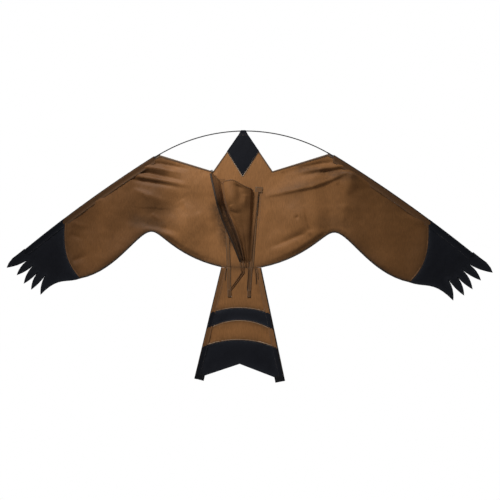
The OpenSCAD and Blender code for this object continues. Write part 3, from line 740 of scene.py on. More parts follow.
PUCKER_REACH = 9 * MM
PUCKER_EASE = 3 * MM


def crest(points, line, above, below):
    """One fold: a ridge along a line, steeper on its narrow side, that fades slowly at its end."""
    line = mm(line)
    runs = np.hypot(*np.diff(line, axis=0).T)
    starts = np.concatenate([[0], np.cumsum(runs)])
    best = np.full(len(points), np.inf)
    side = np.zeros(len(points))
    share = np.zeros(len(points))
    for k, (a, b) in enumerate(segments(line, closed=False)):
        run = (b - a) / runs[k]
        away = points - a
        t = np.clip(away @ run, 0, runs[k])
        gap = away - t[:, None] * run
        far = np.hypot(*gap.T)
        turn = run[0] * away[:, 1] - run[1] * away[:, 0]
        nearer = far < best
        best = np.where(nearer, far, best)
        side = np.where(nearer, turn, side)
        share = np.where(nearer, (starts[k] + t) / starts[-1], share)
    rising = math.copysign(1, line[-1][0] - line[0][0])
    lean = soft(0.5 + 0.5 * rising * side / np.maximum(best, WELD))
    width = (below + (above - below) * lean) * MM
    return np.exp(-(best / width) ** CREST_POWER) * soft(CREST_RISE * share) * soft(CREST_FADE * (1 - share))


def ripples(points, seed, length, count=14):
    """A soft random surface of waves about one length long, from -1 to 1."""
    rng = np.random.default_rng(seed)
    total = np.zeros(len(points))
    for _ in range(count):
        angle, phase = rng.uniform(0, 2 * math.pi, 2)
        wave = 2 * math.pi / (length * rng.uniform(0.7, 1.6))
        total += np.sin(wave * (points @ [math.cos(angle), math.sin(angle)]) + phase)
    return total / math.sqrt(count)


def sail_depth(folds, billow=0.0, slack=0.9 * MM, seed=1, flat_half=0.0, roll=0.0):
    """How far forward each point of a sail lies, from its place and its distance to the seams.
    The middle of the kite stays flat, where tapes and patches are sewn on."""
    def depth(points, reach):
        away = np.abs(points[:, 0])
        folded = sum(high * MM * crest(points, line, above, below) for line, above, below, high in folds)
        loose = slack * ripples(points, seed, SLACK_WAVE) + FINE_SLACK * ripples(points, seed + 7, FINE_WAVE)
        drawn = PUCKER * ripples(points, seed + 3, PUCKER_WAVE)
        drawn = drawn * np.exp(-reach / PUCKER_REACH) * soft(reach / PUCKER_EASE)
        low = soft((ROLL_BELOW - points[:, 1]) / ROLL_EASE)
        wide = billow * soft(np.minimum(reach, np.abs(away - WRIST)) / BILLOW_REACH)
        wide = wide + roll * soft(reach / ROLL_REACH) * low * soft((WRIST - away) / ROLL_INNER)
        near = soft((away - flat_half) / FLAT_EASE) if flat_half else 1.0
        far = soft((away - flat_half) / WIDE_EASE) if flat_half else 1.0
        return near * (soft(reach / FOLD_FADE) * (folded + loose) + drawn) + far * wide
    return depth


# Bodies that ride and what each piece stands for

def stands_for(piece, nodes):
    """Hides the CAD nodes that a piece replaces."""
    if nodes:
        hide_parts(*nodes)
    return piece


def sew(piece, body, slot, *nodes):
    """Puts a piece on a body in place of CAD nodes."""
    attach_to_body(piece, body)
    return stands_for(piece, nodes)


def hinge_sew(piece, side, slot, *nodes, reach=(0, BLEND_REACH)):
    """A piece of a wing at the shoulder, its transform baked into its mesh, in place of CAD nodes."""
    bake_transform(piece)
    return stands_for(piece, nodes)


def attach(piece, body, slot, *nodes):
    """Sews a piece on the body; a piece of the tail instead has its transform baked into its mesh, in place
    of CAD nodes.
    """
    if body != "tail":
        return sew(piece, body, slot, *nodes)
    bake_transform(piece)
    return stands_for(piece, nodes)


body_thread = Thread("body_stitches")
body_dark_thread = Thread("tape_stitches")
tail_thread = Thread("tail_stitches")
wing_threads = {side: Thread(f"{side}_wing_stitches") for side in SIDES}
belly_thread = Thread("belly_stitches")

# Points across a strip: how many steps apart along its outline, and how near, as shares of its width
STRIP_APART = 4
STRIP_NEAR = 1.35
STRIP_JUMP = 3


def middle_line(line, wide):
    """The line along the middle of a narrow strip's outline, from one end to the other."""
    edge = spaced(line, wide)
    count = len(edge)
    gaps = np.linalg.norm(edge[:, None] - edge[None], axis=2)
    apart = np.abs(np.arange(count)[:, None] - np.arange(count)[None])
    apart = np.minimum(apart, count - apart)
    gaps[apart < STRIP_APART] = np.inf
    across = gaps.argmin(1)
    near = gaps.min(1) < STRIP_NEAR * wide
    half = np.array([(edge[i] + edge[across[i]]) / 2 for i in range(count) if near[i] and across[i] > i])
    steps = np.linalg.norm(np.diff(half, axis=0), axis=1)
    if steps.max() > STRIP_JUMP * wide:
        # The outline began halfway along a side, so the first part is turned round
        cut = steps.argmax() + 1
        half = np.vstack([half[:cut][::-1], half[cut:]])
    return half


def hem(name, node, thread, materials):
    """A folded and sewn hem over a CAD hem's outline, with one row of stitches."""
    line = outlines(node)[0]
    piece = strip(name, line, HEM_THICK, materials)
    thread.row(middle_line(line, HEM), HEM_THICK / 2)
    return piece


# A seam between two panels: the strip's place beside the seam, its width and its height, and the place
# of the stitches on the other side
TIP_SEAM = (1.6 * MM, 2.8 * MM, 1.1 * MM, 2.2 * MM)
BAND_SEAM = (1.5 * MM, 2.6 * MM, 1.0 * MM, 2.0 * MM)
SEAM_STEP = 2 * MM


def seam(name, line, other, sizes, body, thread, material):
    """A seam: a folded strip on one panel and a row of stitches on the other."""
    shift, wide, high, gap = sizes
    path = spaced(shared_edge(line, other), SEAM_STEP, closed=False)
    turn = toward(path, line)
    piece = strip(name, ribbon(moved_aside(path, turn * shift), wide), high, [material])
    thread.row(moved_aside(path, -turn * gap), SEAM_LEVEL)
    return sew(piece, body, "brown_tape")


# Frame of the kite

def rods():
    """The rods and their caps keep the frame's shapes and get a finish."""
    sticks = ["bow_rod"] + [f"{side}_{kind}_rod" for side in SIDES for kind in ("wing", "tail")]
    caps = ["left_rod_cap", "right_rod_cap", "tail_rod_caps"]
    for finish, names in ((rod_finish, sticks), (tube_finish, caps)):
        for name in names:
            materials = frame["nodes"][name].data.materials
            materials.clear()
            materials.append(finish)


BOW_ANGLE = math.asin(WRIST / BOW_RADIUS)
SHOULDER = np.array([WRIST, BOW_RADIUS * (math.cos(BOW_ANGLE) - 1)])
WING_CENTRE = SHOULDER - WING_RADIUS * np.array([math.sin(BOW_ANGLE), math.cos(BOW_ANGLE)])
LEAD_POINTS = 60


def lead_station(angle, side, inset=0.0):
    """A place along a wing rod, at a distance inside its axis, and the direction away from the wing."""
    away = np.array([math.sin(angle), math.cos(angle)])
    place = WING_CENTRE + (WING_RADIUS - inset) * away
    mirror = np.array([SIDES[side], 1])
    return place * mirror, away * mirror


def lead_angle(x, inset=0.0):
    return math.asin((x - WING_CENTRE[0]) / (WING_RADIUS - inset))


def lead_line(start, end, side, inset):
    return np.array([lead_station(t, side, inset)[0] for t in np.linspace(start, end, LEAD_POINTS)])


# Shoulder tube: its radius and wall over the bow rod, and what is added over the wing rod
TUBE_SLIM = (1.85 * MM, 0.25 * MM)
TUBE_SWELL = (1.3 * MM, 0.7 * MM)
SWELL_FROM = -0.25
SWELL_EASE = 0.4


def shoulder_tube(side):
    """Soft tube from the bow rod to the wing rod, a little swollen over the thicker rod."""
    mirror = np.array([SIDES[side], 1])
    ring = [math.radians(15 * i) for i in range(24)]
    stations = np.linspace(-1, 1, 19)
    points = []
    for bore in (False, True):
        for s in stations:
            radius = BOW_RADIUS if s < 0 else WING_RADIUS
            centre = np.array([0, -BOW_RADIUS]) if s < 0 else WING_CENTRE
            angle = BOW_ANGLE + s * TUBE_HALF / radius
            away = np.array([math.sin(angle), math.cos(angle)])
            place = (centre + radius * away) * mirror
            swollen = soft((s - SWELL_FROM) / SWELL_EASE)
            outer, wall = (slim + more * swollen for slim, more in zip(TUBE_SLIM, TUBE_SWELL))
            size = outer - wall if bore else outer
            for t in ring:
                x, z = place + size * math.cos(t) * away * mirror
                points.append((x, -size * math.sin(t), z))
    faces = tube_faces(len(stations), len(ring))
    piece = outward(add_mesh(f"{side}_shoulder_sleeve", points, faces, [tube_finish]))
    hinge_sew(piece, side, "soft_tube", f"{side}_shoulder_tube", reach=(-TUBE_BEND, TUBE_BEND))


# Cloth of the body

# The black cloth of the head reaches the edges of the head down to its corners
HEAD_TOP = mm((15.5, -13.4))
HEAD_CORNER = mm((45.6, -57.6))
HEAD_SEAM_WIDE = 2.6 * MM
HEAD_SEAM_HIGH = 0.5 * MM
# From the head's corner to the end of its seam, and from the diamond's edge to the seam and to the stitches
SEAM_INSET = mm((2, 1))
SEAM_END = 0.8 * MM
SEAM_DROP = mm((0, 1.5))
STITCH_RISE = mm((0, 3.6))
# The hems of the body, the one of the head black down to its corners
BODY_HEMS = {"head": [neck_cloth, black_edge], "neck": [neck_cloth], "inner": [hem_cloth]}
# Doubled cloth that closes the corner between the trailing edge and the tail
TAIL_CORNER = mm(((57, -378.6), (42, -378.6), (41, -382.6), (54.6, -382.6)))


def head_ripple(points, reach):
    """The diamond lies flat on the head, with a slight waviness."""
    return 0.1 * MM * ripples(points, 3, 20 * MM)


def body_cloth():
    """The body panel with the black diamond, the hems and the seams of the head."""
    line = outlines("body_panel")[0]
    depth = sail_depth(LEFT_FOLDS + RIGHT_FOLDS, INNER_BILLOW, WING_SLACK, WING_SEED, FLAT_HALF, EDGE_ROLL)
    piece = sew(sail("body_sail", line, depth, brown_cloth), "body", "brown_sailcloth", "body_panel")
    point_z = outlines("head_patch")[0][:, 1].min()
    mirror = np.array([-1, 1])
    patch_line = np.array([HEAD_TOP * mirror, HEAD_CORNER * mirror, (0, point_z), HEAD_CORNER, HEAD_TOP])
    # Painted shade: the diamond takes the darker head black
    patch = sail("head_diamond", patch_line, head_ripple, shaded_head_cloth, 2 * FRONT)
    sew(patch, "body", "black_sailcloth", "head_patch")
    for side, sign in SIDES.items():
        mirror = np.array([sign, 1])
        for part, cloths in BODY_HEMS.items():
            node = f"{side}_{part}_hem"
            binding = sew(hem(f"{side}_{part}_binding", node, body_thread, cloths), "body", "dark_hem", node)
            if part == "head":
                for face in binding.data.polygons:
                    face.material_index = int(face.center.z > HEAD_CORNER[1])
        foot = strip(f"{side}_tail_corner", TAIL_CORNER * mirror, HEM_THICK, [sleeve_cloth])
        sew(foot, "body", "dark_hem")
        ends = np.array([HEAD_CORNER - SEAM_INSET, (SEAM_END, point_z)]) * mirror
        path = spaced(ends, SEAM_STEP, closed=False) - SEAM_DROP
        # Pale seam cloth: painted highlight on the fold of the head's seam
        edge = strip(f"{side}_head_seam", ribbon(path, HEAD_SEAM_WIDE), HEAD_SEAM_HIGH, [seam_highlight_cloth],
                     FRONT + 0.2 * MM)
        sew(edge, "body", "brown_tape")
        body_thread.row(path + STITCH_RISE, 3 * FRONT, both=False)


def nose_fold():
    """Black cloth folded over the bow rod at the nose, wider towards the head."""
    spread = (HEAD_TOP[0] - NOSE_TOP) / NOSE_WIDE
    outer = sleeve_section(NOSE_OUTER, NOSE_WIDE, FLANGE)
    stations = []
    for x in np.linspace(-NOSE_TOP, NOSE_TOP, 12):
        stations.append((np.array([x, 0]), np.array([-spread * x / NOSE_TOP, 1]), 1.0))
    piece = swept("nose_fold", outer, bore_section(outer, NOSE_BORE), stations, [black_cloth], 0.1 * MM, 2)
    sew(piece, "body", "black_sailcloth", "nose_sleeve")
    for drop in NOSE_ROWS:
        reach = 0.9 * (NOSE_TOP + spread * drop)
        body_thread.row([(-reach, -drop), (reach, -drop)], FLANGE)


# Corners of the tapes in mm: top left, top right, low right, low left
BODY_TAPES = {"left": [(-52, -172), (-41, -172), (-29, -382.6), (-40, -382.6)],
              "right": [(33, -172), (47, -172), (35, -382.6), (22, -382.6)]}
TAIL_TAPES = {"left": [(-40, -382.8), (-29, -382.8), (-26, -464), (-36, -464)],
              "right": [(21, -382.8), (32, -382.8), (28, -464), (18, -464)]}
TAPE_ROWS = (0.12, 0.88)
TAPE_HIGH = 0.8 * MM
TAPE_ROUND = 1.2 * MM
TAPE_LEVEL = FRONT + TAPE_HIGH / 2
# The doubled end of a tape on the tail: how far it reaches up and down, its lift and its rows of stitches
END_UP = mm((0, 20))
END_DOWN = mm((0, 1))
END_LIFT = 0.7 * MM
END_ROWS = (1.5 * MM, 18 * MM)
# Double row of stitches beside the right tape
SIDE_ROWS = [[(48.5, -175), (46, -300)], [(52.5, -175), (49, -260)]]
# Folded edges of the right tape, and dark strips beside the top of the tail: both paint the shade along the
# edges of tapes and sleeve flanges
TAPE_EDGE_SHADES = [[(33, -176), (22, -381)], [(40.5, -176), (29.5, -381)], [(47, -176), (43.5, -238)]]
TAIL_EDGE_SHADES = [[(20.2, -386), (17.8, -448)], [(40.5, -386), (43, -428)], [(46, -386), (48, -416)],
             [(-41, -386), (-44, -420)]]
EDGE_WIDE = 1.8 * MM
EDGE_LIFT = 0.3 * MM
EDGE_ROUND = 0.6 * MM
EDGE_STEP = 4 * MM
BOX_SHARE = 0.74


def tape(node, corners, body, thread, material):
    """A flat tape with a row of stitches along each edge."""
    corners = mm(corners)
    piece = strip(f"{node}_cloth", corners, TAPE_HIGH, [material], TAPE_LEVEL, TAPE_ROUND)
    attach(piece, body, "brown_tape", node)
    top_left, top_right, low_right, low_left = corners
    for share in TAPE_ROWS:
        row = [top_left + (top_right - top_left) * share, low_left + (low_right - low_left) * share]
        thread.row(row, FRONT + TAPE_HIGH, both=False)


def belly_tapes():
    """The tapes that hold the pouch, on body and tail, with their patches and their dark edges, and strips
    beside the top of the tail, dark as painted edge shade.
    """
    for side in SIDES:
        tape(f"{side}_belly_tape", BODY_TAPES[side], "body", body_dark_thread, tape_cloth)
        material = tape_cloth if side == "left" else sleeve_cloth
        tape(f"{side}_tail_tape", TAIL_TAPES[side], "tail", tail_thread, material)
        end = mm(TAIL_TAPES[side][2:])
        patch = np.vstack([end + END_UP, end[::-1] - END_DOWN])
        doubled = strip(f"{side}_tape_end", patch, TAPE_HIGH, [sleeve_cloth], TAPE_LEVEL + END_LIFT,
                        TAPE_ROUND)
        sew(doubled, "tail", "brown_tape")
        for rise in END_ROWS:
            tail_thread.row(end + np.array([0, rise]), FRONT + TAPE_HIGH + END_LIFT, both=False)
    for row in SIDE_ROWS:
        body_dark_thread.row(mm(row), FRONT, False, CLOSE_PITCH)
    # Dark strips of painted edge shade along the tapes and the tail sleeves' flanges
    for body, name, paths in (("body", "tape_edge_shade", TAPE_EDGE_SHADES), ("tail", "tail_edge_shade", TAIL_EDGE_SHADES)):
        for k, path in enumerate(paths):
            line = ribbon(spaced(mm(path), EDGE_STEP, closed=False), EDGE_WIDE)
            edge = strip(f"{name}_{k}", line, TAPE_HIGH, [hem_cloth], TAPE_LEVEL + EDGE_LIFT, EDGE_ROUND,
                         step=FINE_TILE)
            attach(edge, body, "dark_hem")
    for k, line in enumerate(outlines("tape_patches")):
        piece = strip(f"tape_patch_{k}", line, TAPE_HIGH, [tape_cloth], TAPE_LEVEL, TAPE_ROUND)
        sew(piece, "body", "brown_tape", *(["tape_patches"] if k == 0 else []))
        middle = line.mean(0)
        box = middle + (line - middle) * BOX_SHARE
        body_dark_thread.row(np.vstack([box, box[:1]]), FRONT + TAPE_HIGH, False, CLOSE_PITCH)


# Gathers of the pouch below its end, and the pleats they run out into on the tail
GATHERS = [[(-3, -366), (0, -382.4)], [(5, -366), (7, -382.4)], [(12, -366), (14, -382.4)],
           [(20, -366), (21.5, -382.4)]]
PLEATS = [[(0, -383), (3, -396), (-13, -420), (-29, -444)],
          [(6.5, -383), (8.5, -397), (-8, -421), (-26, -446)],
          [(21.5, -383), (22, -403), (19, -448)]]
GATHER_WIDE = 5 * MM
GATHER_HIGH = 3.4 * MM
GATHER_ROUND = 2.4 * MM
GATHER_SINK = 0.3 * MM
GATHER_BACK = 0.1
PLEAT_TAPER = 0.45
# How many gathers from the left take the dark sleeve cloth, as painted shade in their pleats
SHADED_GATHERS = 2


def gathers():
    for body, name, paths in (("body", "pouch_gather", GATHERS), ("tail", "lower_pleat", PLEATS)):
        for k, path in enumerate(paths):
            path = spaced(mm(path), SEAM_STEP, closed=False)
            half = np.linspace(1, PLEAT_TAPER if body == "tail" else 1, len(path)) * GATHER_WIDE / 2
            side = (moved_aside(path, 1.0) - path) * half[:, None]
            line = np.vstack([path - side, (path + side)[::-1]])
            # Painted shade: the first gathers in the dark sleeve cloth
            material = sleeve_cloth if body == "body" and k < SHADED_GATHERS else shaded_belly_cloth
            piece = strip(f"{name}_{k}", line, GATHER_HIGH, [material], FRONT - GATHER_SINK, GATHER_ROUND,
                          GATHER_BACK, FINE_TILE)
            attach(piece, body, "brown_sailcloth", *(["lower_pleats"] if body == "tail" and k == 0 else []))


# Wings

# Feather rim: how near other edges it stops, how far inside the edge it lies, and its half width and height
RIM_CLEAR = 0.3 * MM
ROD_CLEAR = 5 * MM
TIP_REACH = 620 * MM
RIM_INSET = 0.7 * MM
RIM_SIZE = (0.9 * MM, 0.55 * MM)
RIM_BORE = 0.4


def wing(side):
    """One wing outside the shoulder: its brown panel, its black tip, their seam and the edges."""
    body = f"{side}_wing"
    thread = wing_threads[side]
    line = outlines(f"{side}_wing_panel")[0]
    folds = LEFT_FOLDS if side == "left" else RIGHT_FOLDS
    depth = sail_depth(folds + OUTER_FOLDS, WING_BILLOW, WING_SLACK, WING_SEED)
    piece = sail(f"{side}_wing_sail", line, depth, brown_cloth)
    hinge_sew(piece, side, "brown_sailcloth", f"{side}_wing_panel")
    binding = hem(f"{side}_wing_binding", f"{side}_wing_hem", thread, [hem_cloth])
    trims = [hinge_sew(binding, side, "dark_hem", f"{side}_wing_hem")]
    tip_line = outlines(f"{side}_wing_tip")[0]
    tip = sail(f"{side}_tip_sail", tip_line, sail_depth([], 0, 0.8 * MM, 11), black_cloth)
    sew(tip, body, "black_sailcloth", f"{side}_wing_tip")
    trims.append(seam(f"{side}_tip_seam", line, tip_line, TIP_SEAM, body, thread, tail_sleeve_cloth))
    trims.append(lead_sleeve(side, "leading_sleeve", "leading_fold", sleeve_cloth))
    trims.append(lead_sleeve(side, "tip_sleeve", "tip_fold", black_cloth))
    trims.append(feather_rim(side, line, tip_line))


def lead_sleeve(side, node, name, material):
    """Cloth folded round the wing rod, with two rows of stitches on each face.
    Its end nearer the body is cut straight down: along the shoulder hinge, so that it clears the body
    as the wing flaps, or along the seam of the wing tip, where the black sleeve covers the brown one."""
    low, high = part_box(f"{side}_{node}")
    reach = sorted(abs(x) for x in (low.x, high.x))
    at_hinge = node == "leading_sleeve"
    cover = 0.0 if at_hinge else TIP_COVER
    start = lead_angle(WRIST + LEAD_MOUTH) if at_hinge else lead_angle(reach[0], LEAD_WIDE)
    end = lead_angle(reach[1] - LEAD_OUTER * math.sin(lead_angle(reach[1])))
    end += (SLEEVE_LAP if at_hinge else TIP_LAP) / WING_RADIUS
    outer = sleeve_section(LEAD_OUTER + cover, LEAD_WIDE, FLANGE + cover)
    mouth = np.arange(start, start + MOUTH_LONG / WING_RADIUS, MOUTH_STEP / WING_RADIUS)
    step = LEAD_STEP / WING_RADIUS
    angles = np.concatenate([mouth, np.arange(mouth[-1] + step, end, step), [end]])
    cut = BOW_ANGLE if at_hinge else start
    flange = np.clip((angles - cut) * WING_RADIUS / math.tan(cut) / LEAD_WIDE, 0.02, 1)
    stations = [(*lead_station(t, side), share) for t, share in zip(angles, flange)]
    piece = swept(f"{side}_{name}", outer, bore_section(outer, LEAD_BORE), stations, [material, hem_cloth],
                  0.28 * MM, 21 + SIDES[side])
    if at_hinge:
        darken_rim(piece, outer, len(stations), 1)
    sew(piece, f"{side}_wing", "brown_sleeve" if at_hinge else "black_sailcloth", f"{side}_{node}")
    last = end - SLEEVE_LAP / WING_RADIUS if at_hinge else end
    for inset in LEAD_ROWS:
        first = cut + (inset * math.tan(cut) + 2 * MM) / WING_RADIUS
        wing_threads[side].row(lead_line(first, last, side, inset), FLANGE + cover)
    return piece


def feather_rim(side, line, tip_line):
    """Sealed edge of the feathers: a thin dark roll along the free edge of the black cloth."""
    axis = lead_line(lead_angle(WRIST), lead_angle(TIP_REACH), side, 0)
    near_lead = distance(tip_line, segments(axis, closed=False)) < ROD_CLEAR
    near_seam = distance(tip_line, segments(line)) < RIM_CLEAR
    path = spaced(open_part(tip_line, ~(near_seam | near_lead)), SEAM_STEP, closed=False)
    path = moved_aside(path, toward(path, tip_line) * RIM_INSET)
    run = np.gradient(path, axis=0)
    away = np.column_stack([-run[:, 1], run[:, 0]]) / np.linalg.norm(run, axis=1)[:, None]
    ring = [math.radians(45 * i) for i in range(8)]
    outer = [(RIM_SIZE[0] * math.cos(t), RIM_SIZE[1] * math.sin(t)) for t in ring]
    inner = [(RIM_BORE * a, RIM_BORE * b) for a, b in outer]
    stations = [(p, a, 1.0) for p, a in zip(path, away)]
    piece = swept(f"{side}_feather_rim", outer, inner, stations, [black_edge])
    return sew(piece, f"{side}_wing", "black_sailcloth")


# Tail

TAIL_PANELS = [("tail_panel", "upper_tail_sail", brown_cloth, "brown_sailcloth"),
               ("tail_band", "tail_band_sail", black_cloth, "black_sailcloth"),
               ("tail_lower_panel", "lower_tail_sail", brown_cloth, "brown_sailcloth"),
               ("tail_end_panel", "tail_end_sail", black_cloth, "black_sailcloth")]
TAIL_SEAMS = [("tail_panel", "tail_band"), ("tail_lower_panel", "tail_band"),
              ("tail_lower_panel", "tail_end_panel")]
# Doubled cloth at the top of a tail sleeve, below the corner of the body
TAIL_HEEL = mm(((55.6, -382.8), (46, -382.8), (45, -389), (56.8, -389)))
TAIL_FOLDS = [
    ([(-26, -386), (-40, -430), (-54, -480)], 9, 10, 1.2),
    ([(41, -389), (52, -432), (60, -472)], 9, 10, -1.2),
]
TAIL_FLAT = 34 * MM
MOUTH_STATIONS = (0, 0.9 * MM, 1.8 * MM)
MOUTH_GAP = 0.2 * MM
SLEEVE_SHORT = 2 * MM
TAB_LAP = 3.5 * MM
TAB_LONG = 14 * MM + TAB_LAP
TAB_WIDE = 27 * MM
TAB_THICK = 2.4 * MM
TAB_STATIONS = (0, 0.03, 0.1, 0.3, 0.5, 0.7, 0.9, 0.97, 1)
# Box of stitches on a tab: share of its length and distance from the rod
TAB_BOX = [(0.15, 5 * MM), (0.85, 5 * MM), (0.85, 18 * MM), (0.15, 18 * MM), (0.15, 5 * MM)]


def tail():
    """The four panels of the tail, its sleeves and its seams."""
    lines = {node: outlines(node)[0] for node, *_ in TAIL_PANELS}
    depth = sail_depth(TAIL_FOLDS, 0, 0.9 * MM, 31, TAIL_FLAT)
    for node, name, material, slot in TAIL_PANELS:
        place = attach if node == "tail_panel" else sew
        place(sail(name, lines[node], depth, material), "tail", slot, node)
    trims = tail_sleeves(lines)
    for side, sign in SIDES.items():
        heel = strip(f"{side}_tail_heel", TAIL_HEEL * np.array([sign, 1]), HEM_THICK, [tail_sleeve_cloth])
        trims.append(attach(heel, "tail", "brown_sleeve"))
    for k, (brown, black) in enumerate(TAIL_SEAMS):
        name = f"tail_seam_{k}"
        # Pale seam cloth: painted highlight on the folds of the tail's seams
        trims.append(seam(name, lines[brown], lines[black], BAND_SEAM, "tail", tail_thread, seam_highlight_cloth))


def tail_sleeves(lines):
    """Cloth folded round the tail rods, black where the bands cross it, and a square tab at each end."""
    borders = [np.polyfit(*shared_edge(lines[a], lines[b]).T, 2) for a, b in TAIL_SEAMS]
    outer = sleeve_section(TAIL_OUTER, TAIL_WIDE, FLANGE)
    made = []
    for side, sign in SIDES.items():
        # The rod's box gives its axis: it spreads downward, away from the middle
        low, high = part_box(f"{side}_tail_rod")
        near, far = sorted((abs(low.x), abs(high.x)))
        slope = math.atan2(far - near, high.z - low.z)
        sin, cos = math.sin(slope), math.cos(slope)
        run = np.array([sign * sin, -cos])
        away = np.array([sign * cos, sin])
        start = np.array([sign * (near + TAIL_ROD * cos), high.z - TAIL_ROD * sin]) - run * TAIL_MOUTH
        low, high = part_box(f"{side}_tail_sleeve")
        length = (high.z - low.z - (TAIL_WIDE + TAIL_OUTER) * sin) / cos + (TAIL_MOUTH - SLEEVE_SHORT)
        along = np.concatenate([MOUTH_STATIONS, np.arange(LEAD_STEP, length, LEAD_STEP), [length]])
        flange = np.clip((along + MOUTH_GAP) / math.tan(slope) / TAIL_WIDE, 0.15, 1)
        stations = [(start + run * s, away, share) for s, share in zip(along, flange)]
        sleeve = swept(f"{side}_tail_fold", outer, bore_section(outer, TAIL_BORE), stations,
                       [tail_sleeve_cloth, black_cloth, hem_cloth], 0.22 * MM, 41 + sign)
        for face in sleeve.data.polygons:
            heights = [np.polyval(border, face.center.x) for border in borders]
            face.material_index = sum(face.center.z < height for height in heights) % 2
        darken_rim(sleeve, outer, len(stations), 2)
        made.append(sew(sleeve, "tail", "brown_sleeve", f"{side}_tail_sleeve"))
        for inset in TAIL_ROWS:
            tail_thread.row([start - away * inset, start + run * length - away * inset], FLANGE)
        made.append(tail_tab(side, start + run * (length - TAB_LAP), run, away))
    return made


def tail_tab(side, start, run, away):
    """Square of doubled black webbing that closes the end of a tail sleeve."""
    outer = sleeve_section(TAIL_OUTER, TAB_WIDE - TAIL_OUTER, TAB_THICK / 2)
    inner = [(0.3 * a - 2 * MM, 0.2 * b) for a, b in outer]
    stations = [(start + run * share * TAB_LONG, away, 1.0) for share in TAB_STATIONS]
    piece = swept(f"{side}_tab_fold", outer, inner, stations, [black_webbing])
    sew(piece, "tail", "black_webbing", f"{side}_tail_tab")
    tail_thread.row([start + run * s * TAB_LONG - away * a for s, a in TAB_BOX], TAB_THICK / 2)
    return piece


# Belly pouch: lines from the right seam to the loose left edge
# Each line runs from the mouth to the lower end: x, height above the back and z, in mm
POUCH_LINES = [
    [(46, 1.9, -172), (44, 1.9, -190), (41, 1.9, -222), (37, 1.9, -262), (32.5, 1.9, -312), (27, 1.9, -369)],
    [(31, 2.2, -172), (30.5, 2.2, -190), (30, 2.2, -222), (29, 2.2, -262), (27, 2.2, -312), (24, 2, -369)],
    [(25, 14, -168), (24, 14, -190), (23, 13, -222), (22, 10, -262), (21, 7, -312), (20, 3, -369)],
    [(6, 27, -161), (5, 27, -190), (6, 22, -222), (10, 14, -262), (14.5, 9, -312), (17.5, 3.4, -369)],
    [(-22, 34, -147), (-22, 35, -190), (-17, 27, -222), (-6, 15, -262), (7, 10, -312), (14.5, 3.4, -369)],
    [(-46, 27, -148), (-43, 27, -190), (-34, 20, -222), (-18, 13, -262), (0, 10, -312), (11.5, 3.4, -369)],
    [(-57, 3, -150), (-51, 5, -190), (-42, 6, -222), (-25, 9, -262), (-6, 9, -312), (8, 3.2, -369)],
    [(-71, 8, -137), (-58.5, 21, -190), (-50, 17, -222), (-35, 14, -262), (-14, 10, -312), (4.5, 3.2, -369)],
    [(-86, 13.5, -122), (-67, 38, -190), (-58.5, 31, -222), (-44.5, 21, -262), (-22, 12, -312), (1, 3, -369)],
]
# Creases of the pouch: a line in shares of its width and length, its width and its height in mm
BELLY_FOLDS = [
    ([(0.945, 0.26), (0.94, 0.65), (0.93, 1.6)], 0.030, -7.0),
    ([(0.875, 0.30), (0.87, 0.65), (0.86, 1.6)], 0.030, 4.6),
    ([(0.79, 0.30), (0.78, 0.65), (0.77, 1.6)], 0.040, -9.0),
    ([(0.70, 0.36), (0.69, 0.65), (0.68, 1.6)], 0.030, 5.0),
    ([(0.61, 0.38), (0.60, 0.65), (0.59, 1.6)], 0.040, -6.0),
    ([(0.43, 0.50), (0.42, 0.75), (0.41, 1.6)], 0.040, -2.6),
    ([(0.44, 0.01), (0.42, 0.21), (0.44, 0.38)], 0.050, -5.0),
    ([(0.34, 0.14), (0.345, 0.27), (0.36, 0.40)], 0.040, 2.0),
    ([(0.63, 0.43), (0.50, 0.47), (0.36, 0.45)], 0.036, -2.6),
    ([(0.56, 0.34), (0.54, 0.40), (0.53, 0.48)], 0.040, 2.6),
]
POUCH_ACROSS = 105
POUCH_DOWN = 97
POUCH_HELD = 9
POUCH_SLACK = 0.35 * MM
POUCH_WAVE = 30 * MM
POUCH_SEWN = 0.06
SEWN_LEVEL = 0.1 * MM
# Painted shade on the flap beside the loose edge and down the dark band below it: where it begins across, how
# strong it is at the mouth and how it grows and fades on the way down
FLAP_FROM = 0.70
FLAP_EASE = 0.07
FLAP_TOP = 0.42
FLAP_FULL = 0.45
FLAP_FADE = 0.84
EDGE_SOIL = 40
BINDING_WEAR = 0.4
SEAM_WIDE = 5.0 * MM
SEAM_HIGH = 1.6 * MM
MOUTH_END = 31 * MM


def through(rows, t):
    """Points of a curve through a row of points, for places from zero to one along it."""
    last = len(rows) - 1
    i = np.minimum(np.floor(t * last).astype(int), last - 1)
    s = (t * last - i)[:, None]
    a, b = rows[np.maximum(i - 1, 0)], rows[i]
    c, d = rows[i + 1], rows[np.minimum(i + 2, last)]
    return b + s * ((c - a) / 2 + s * (a - 2.5 * b + 2 * c - d / 2 + s * (1.5 * (b - c) + (d - a) / 2)))


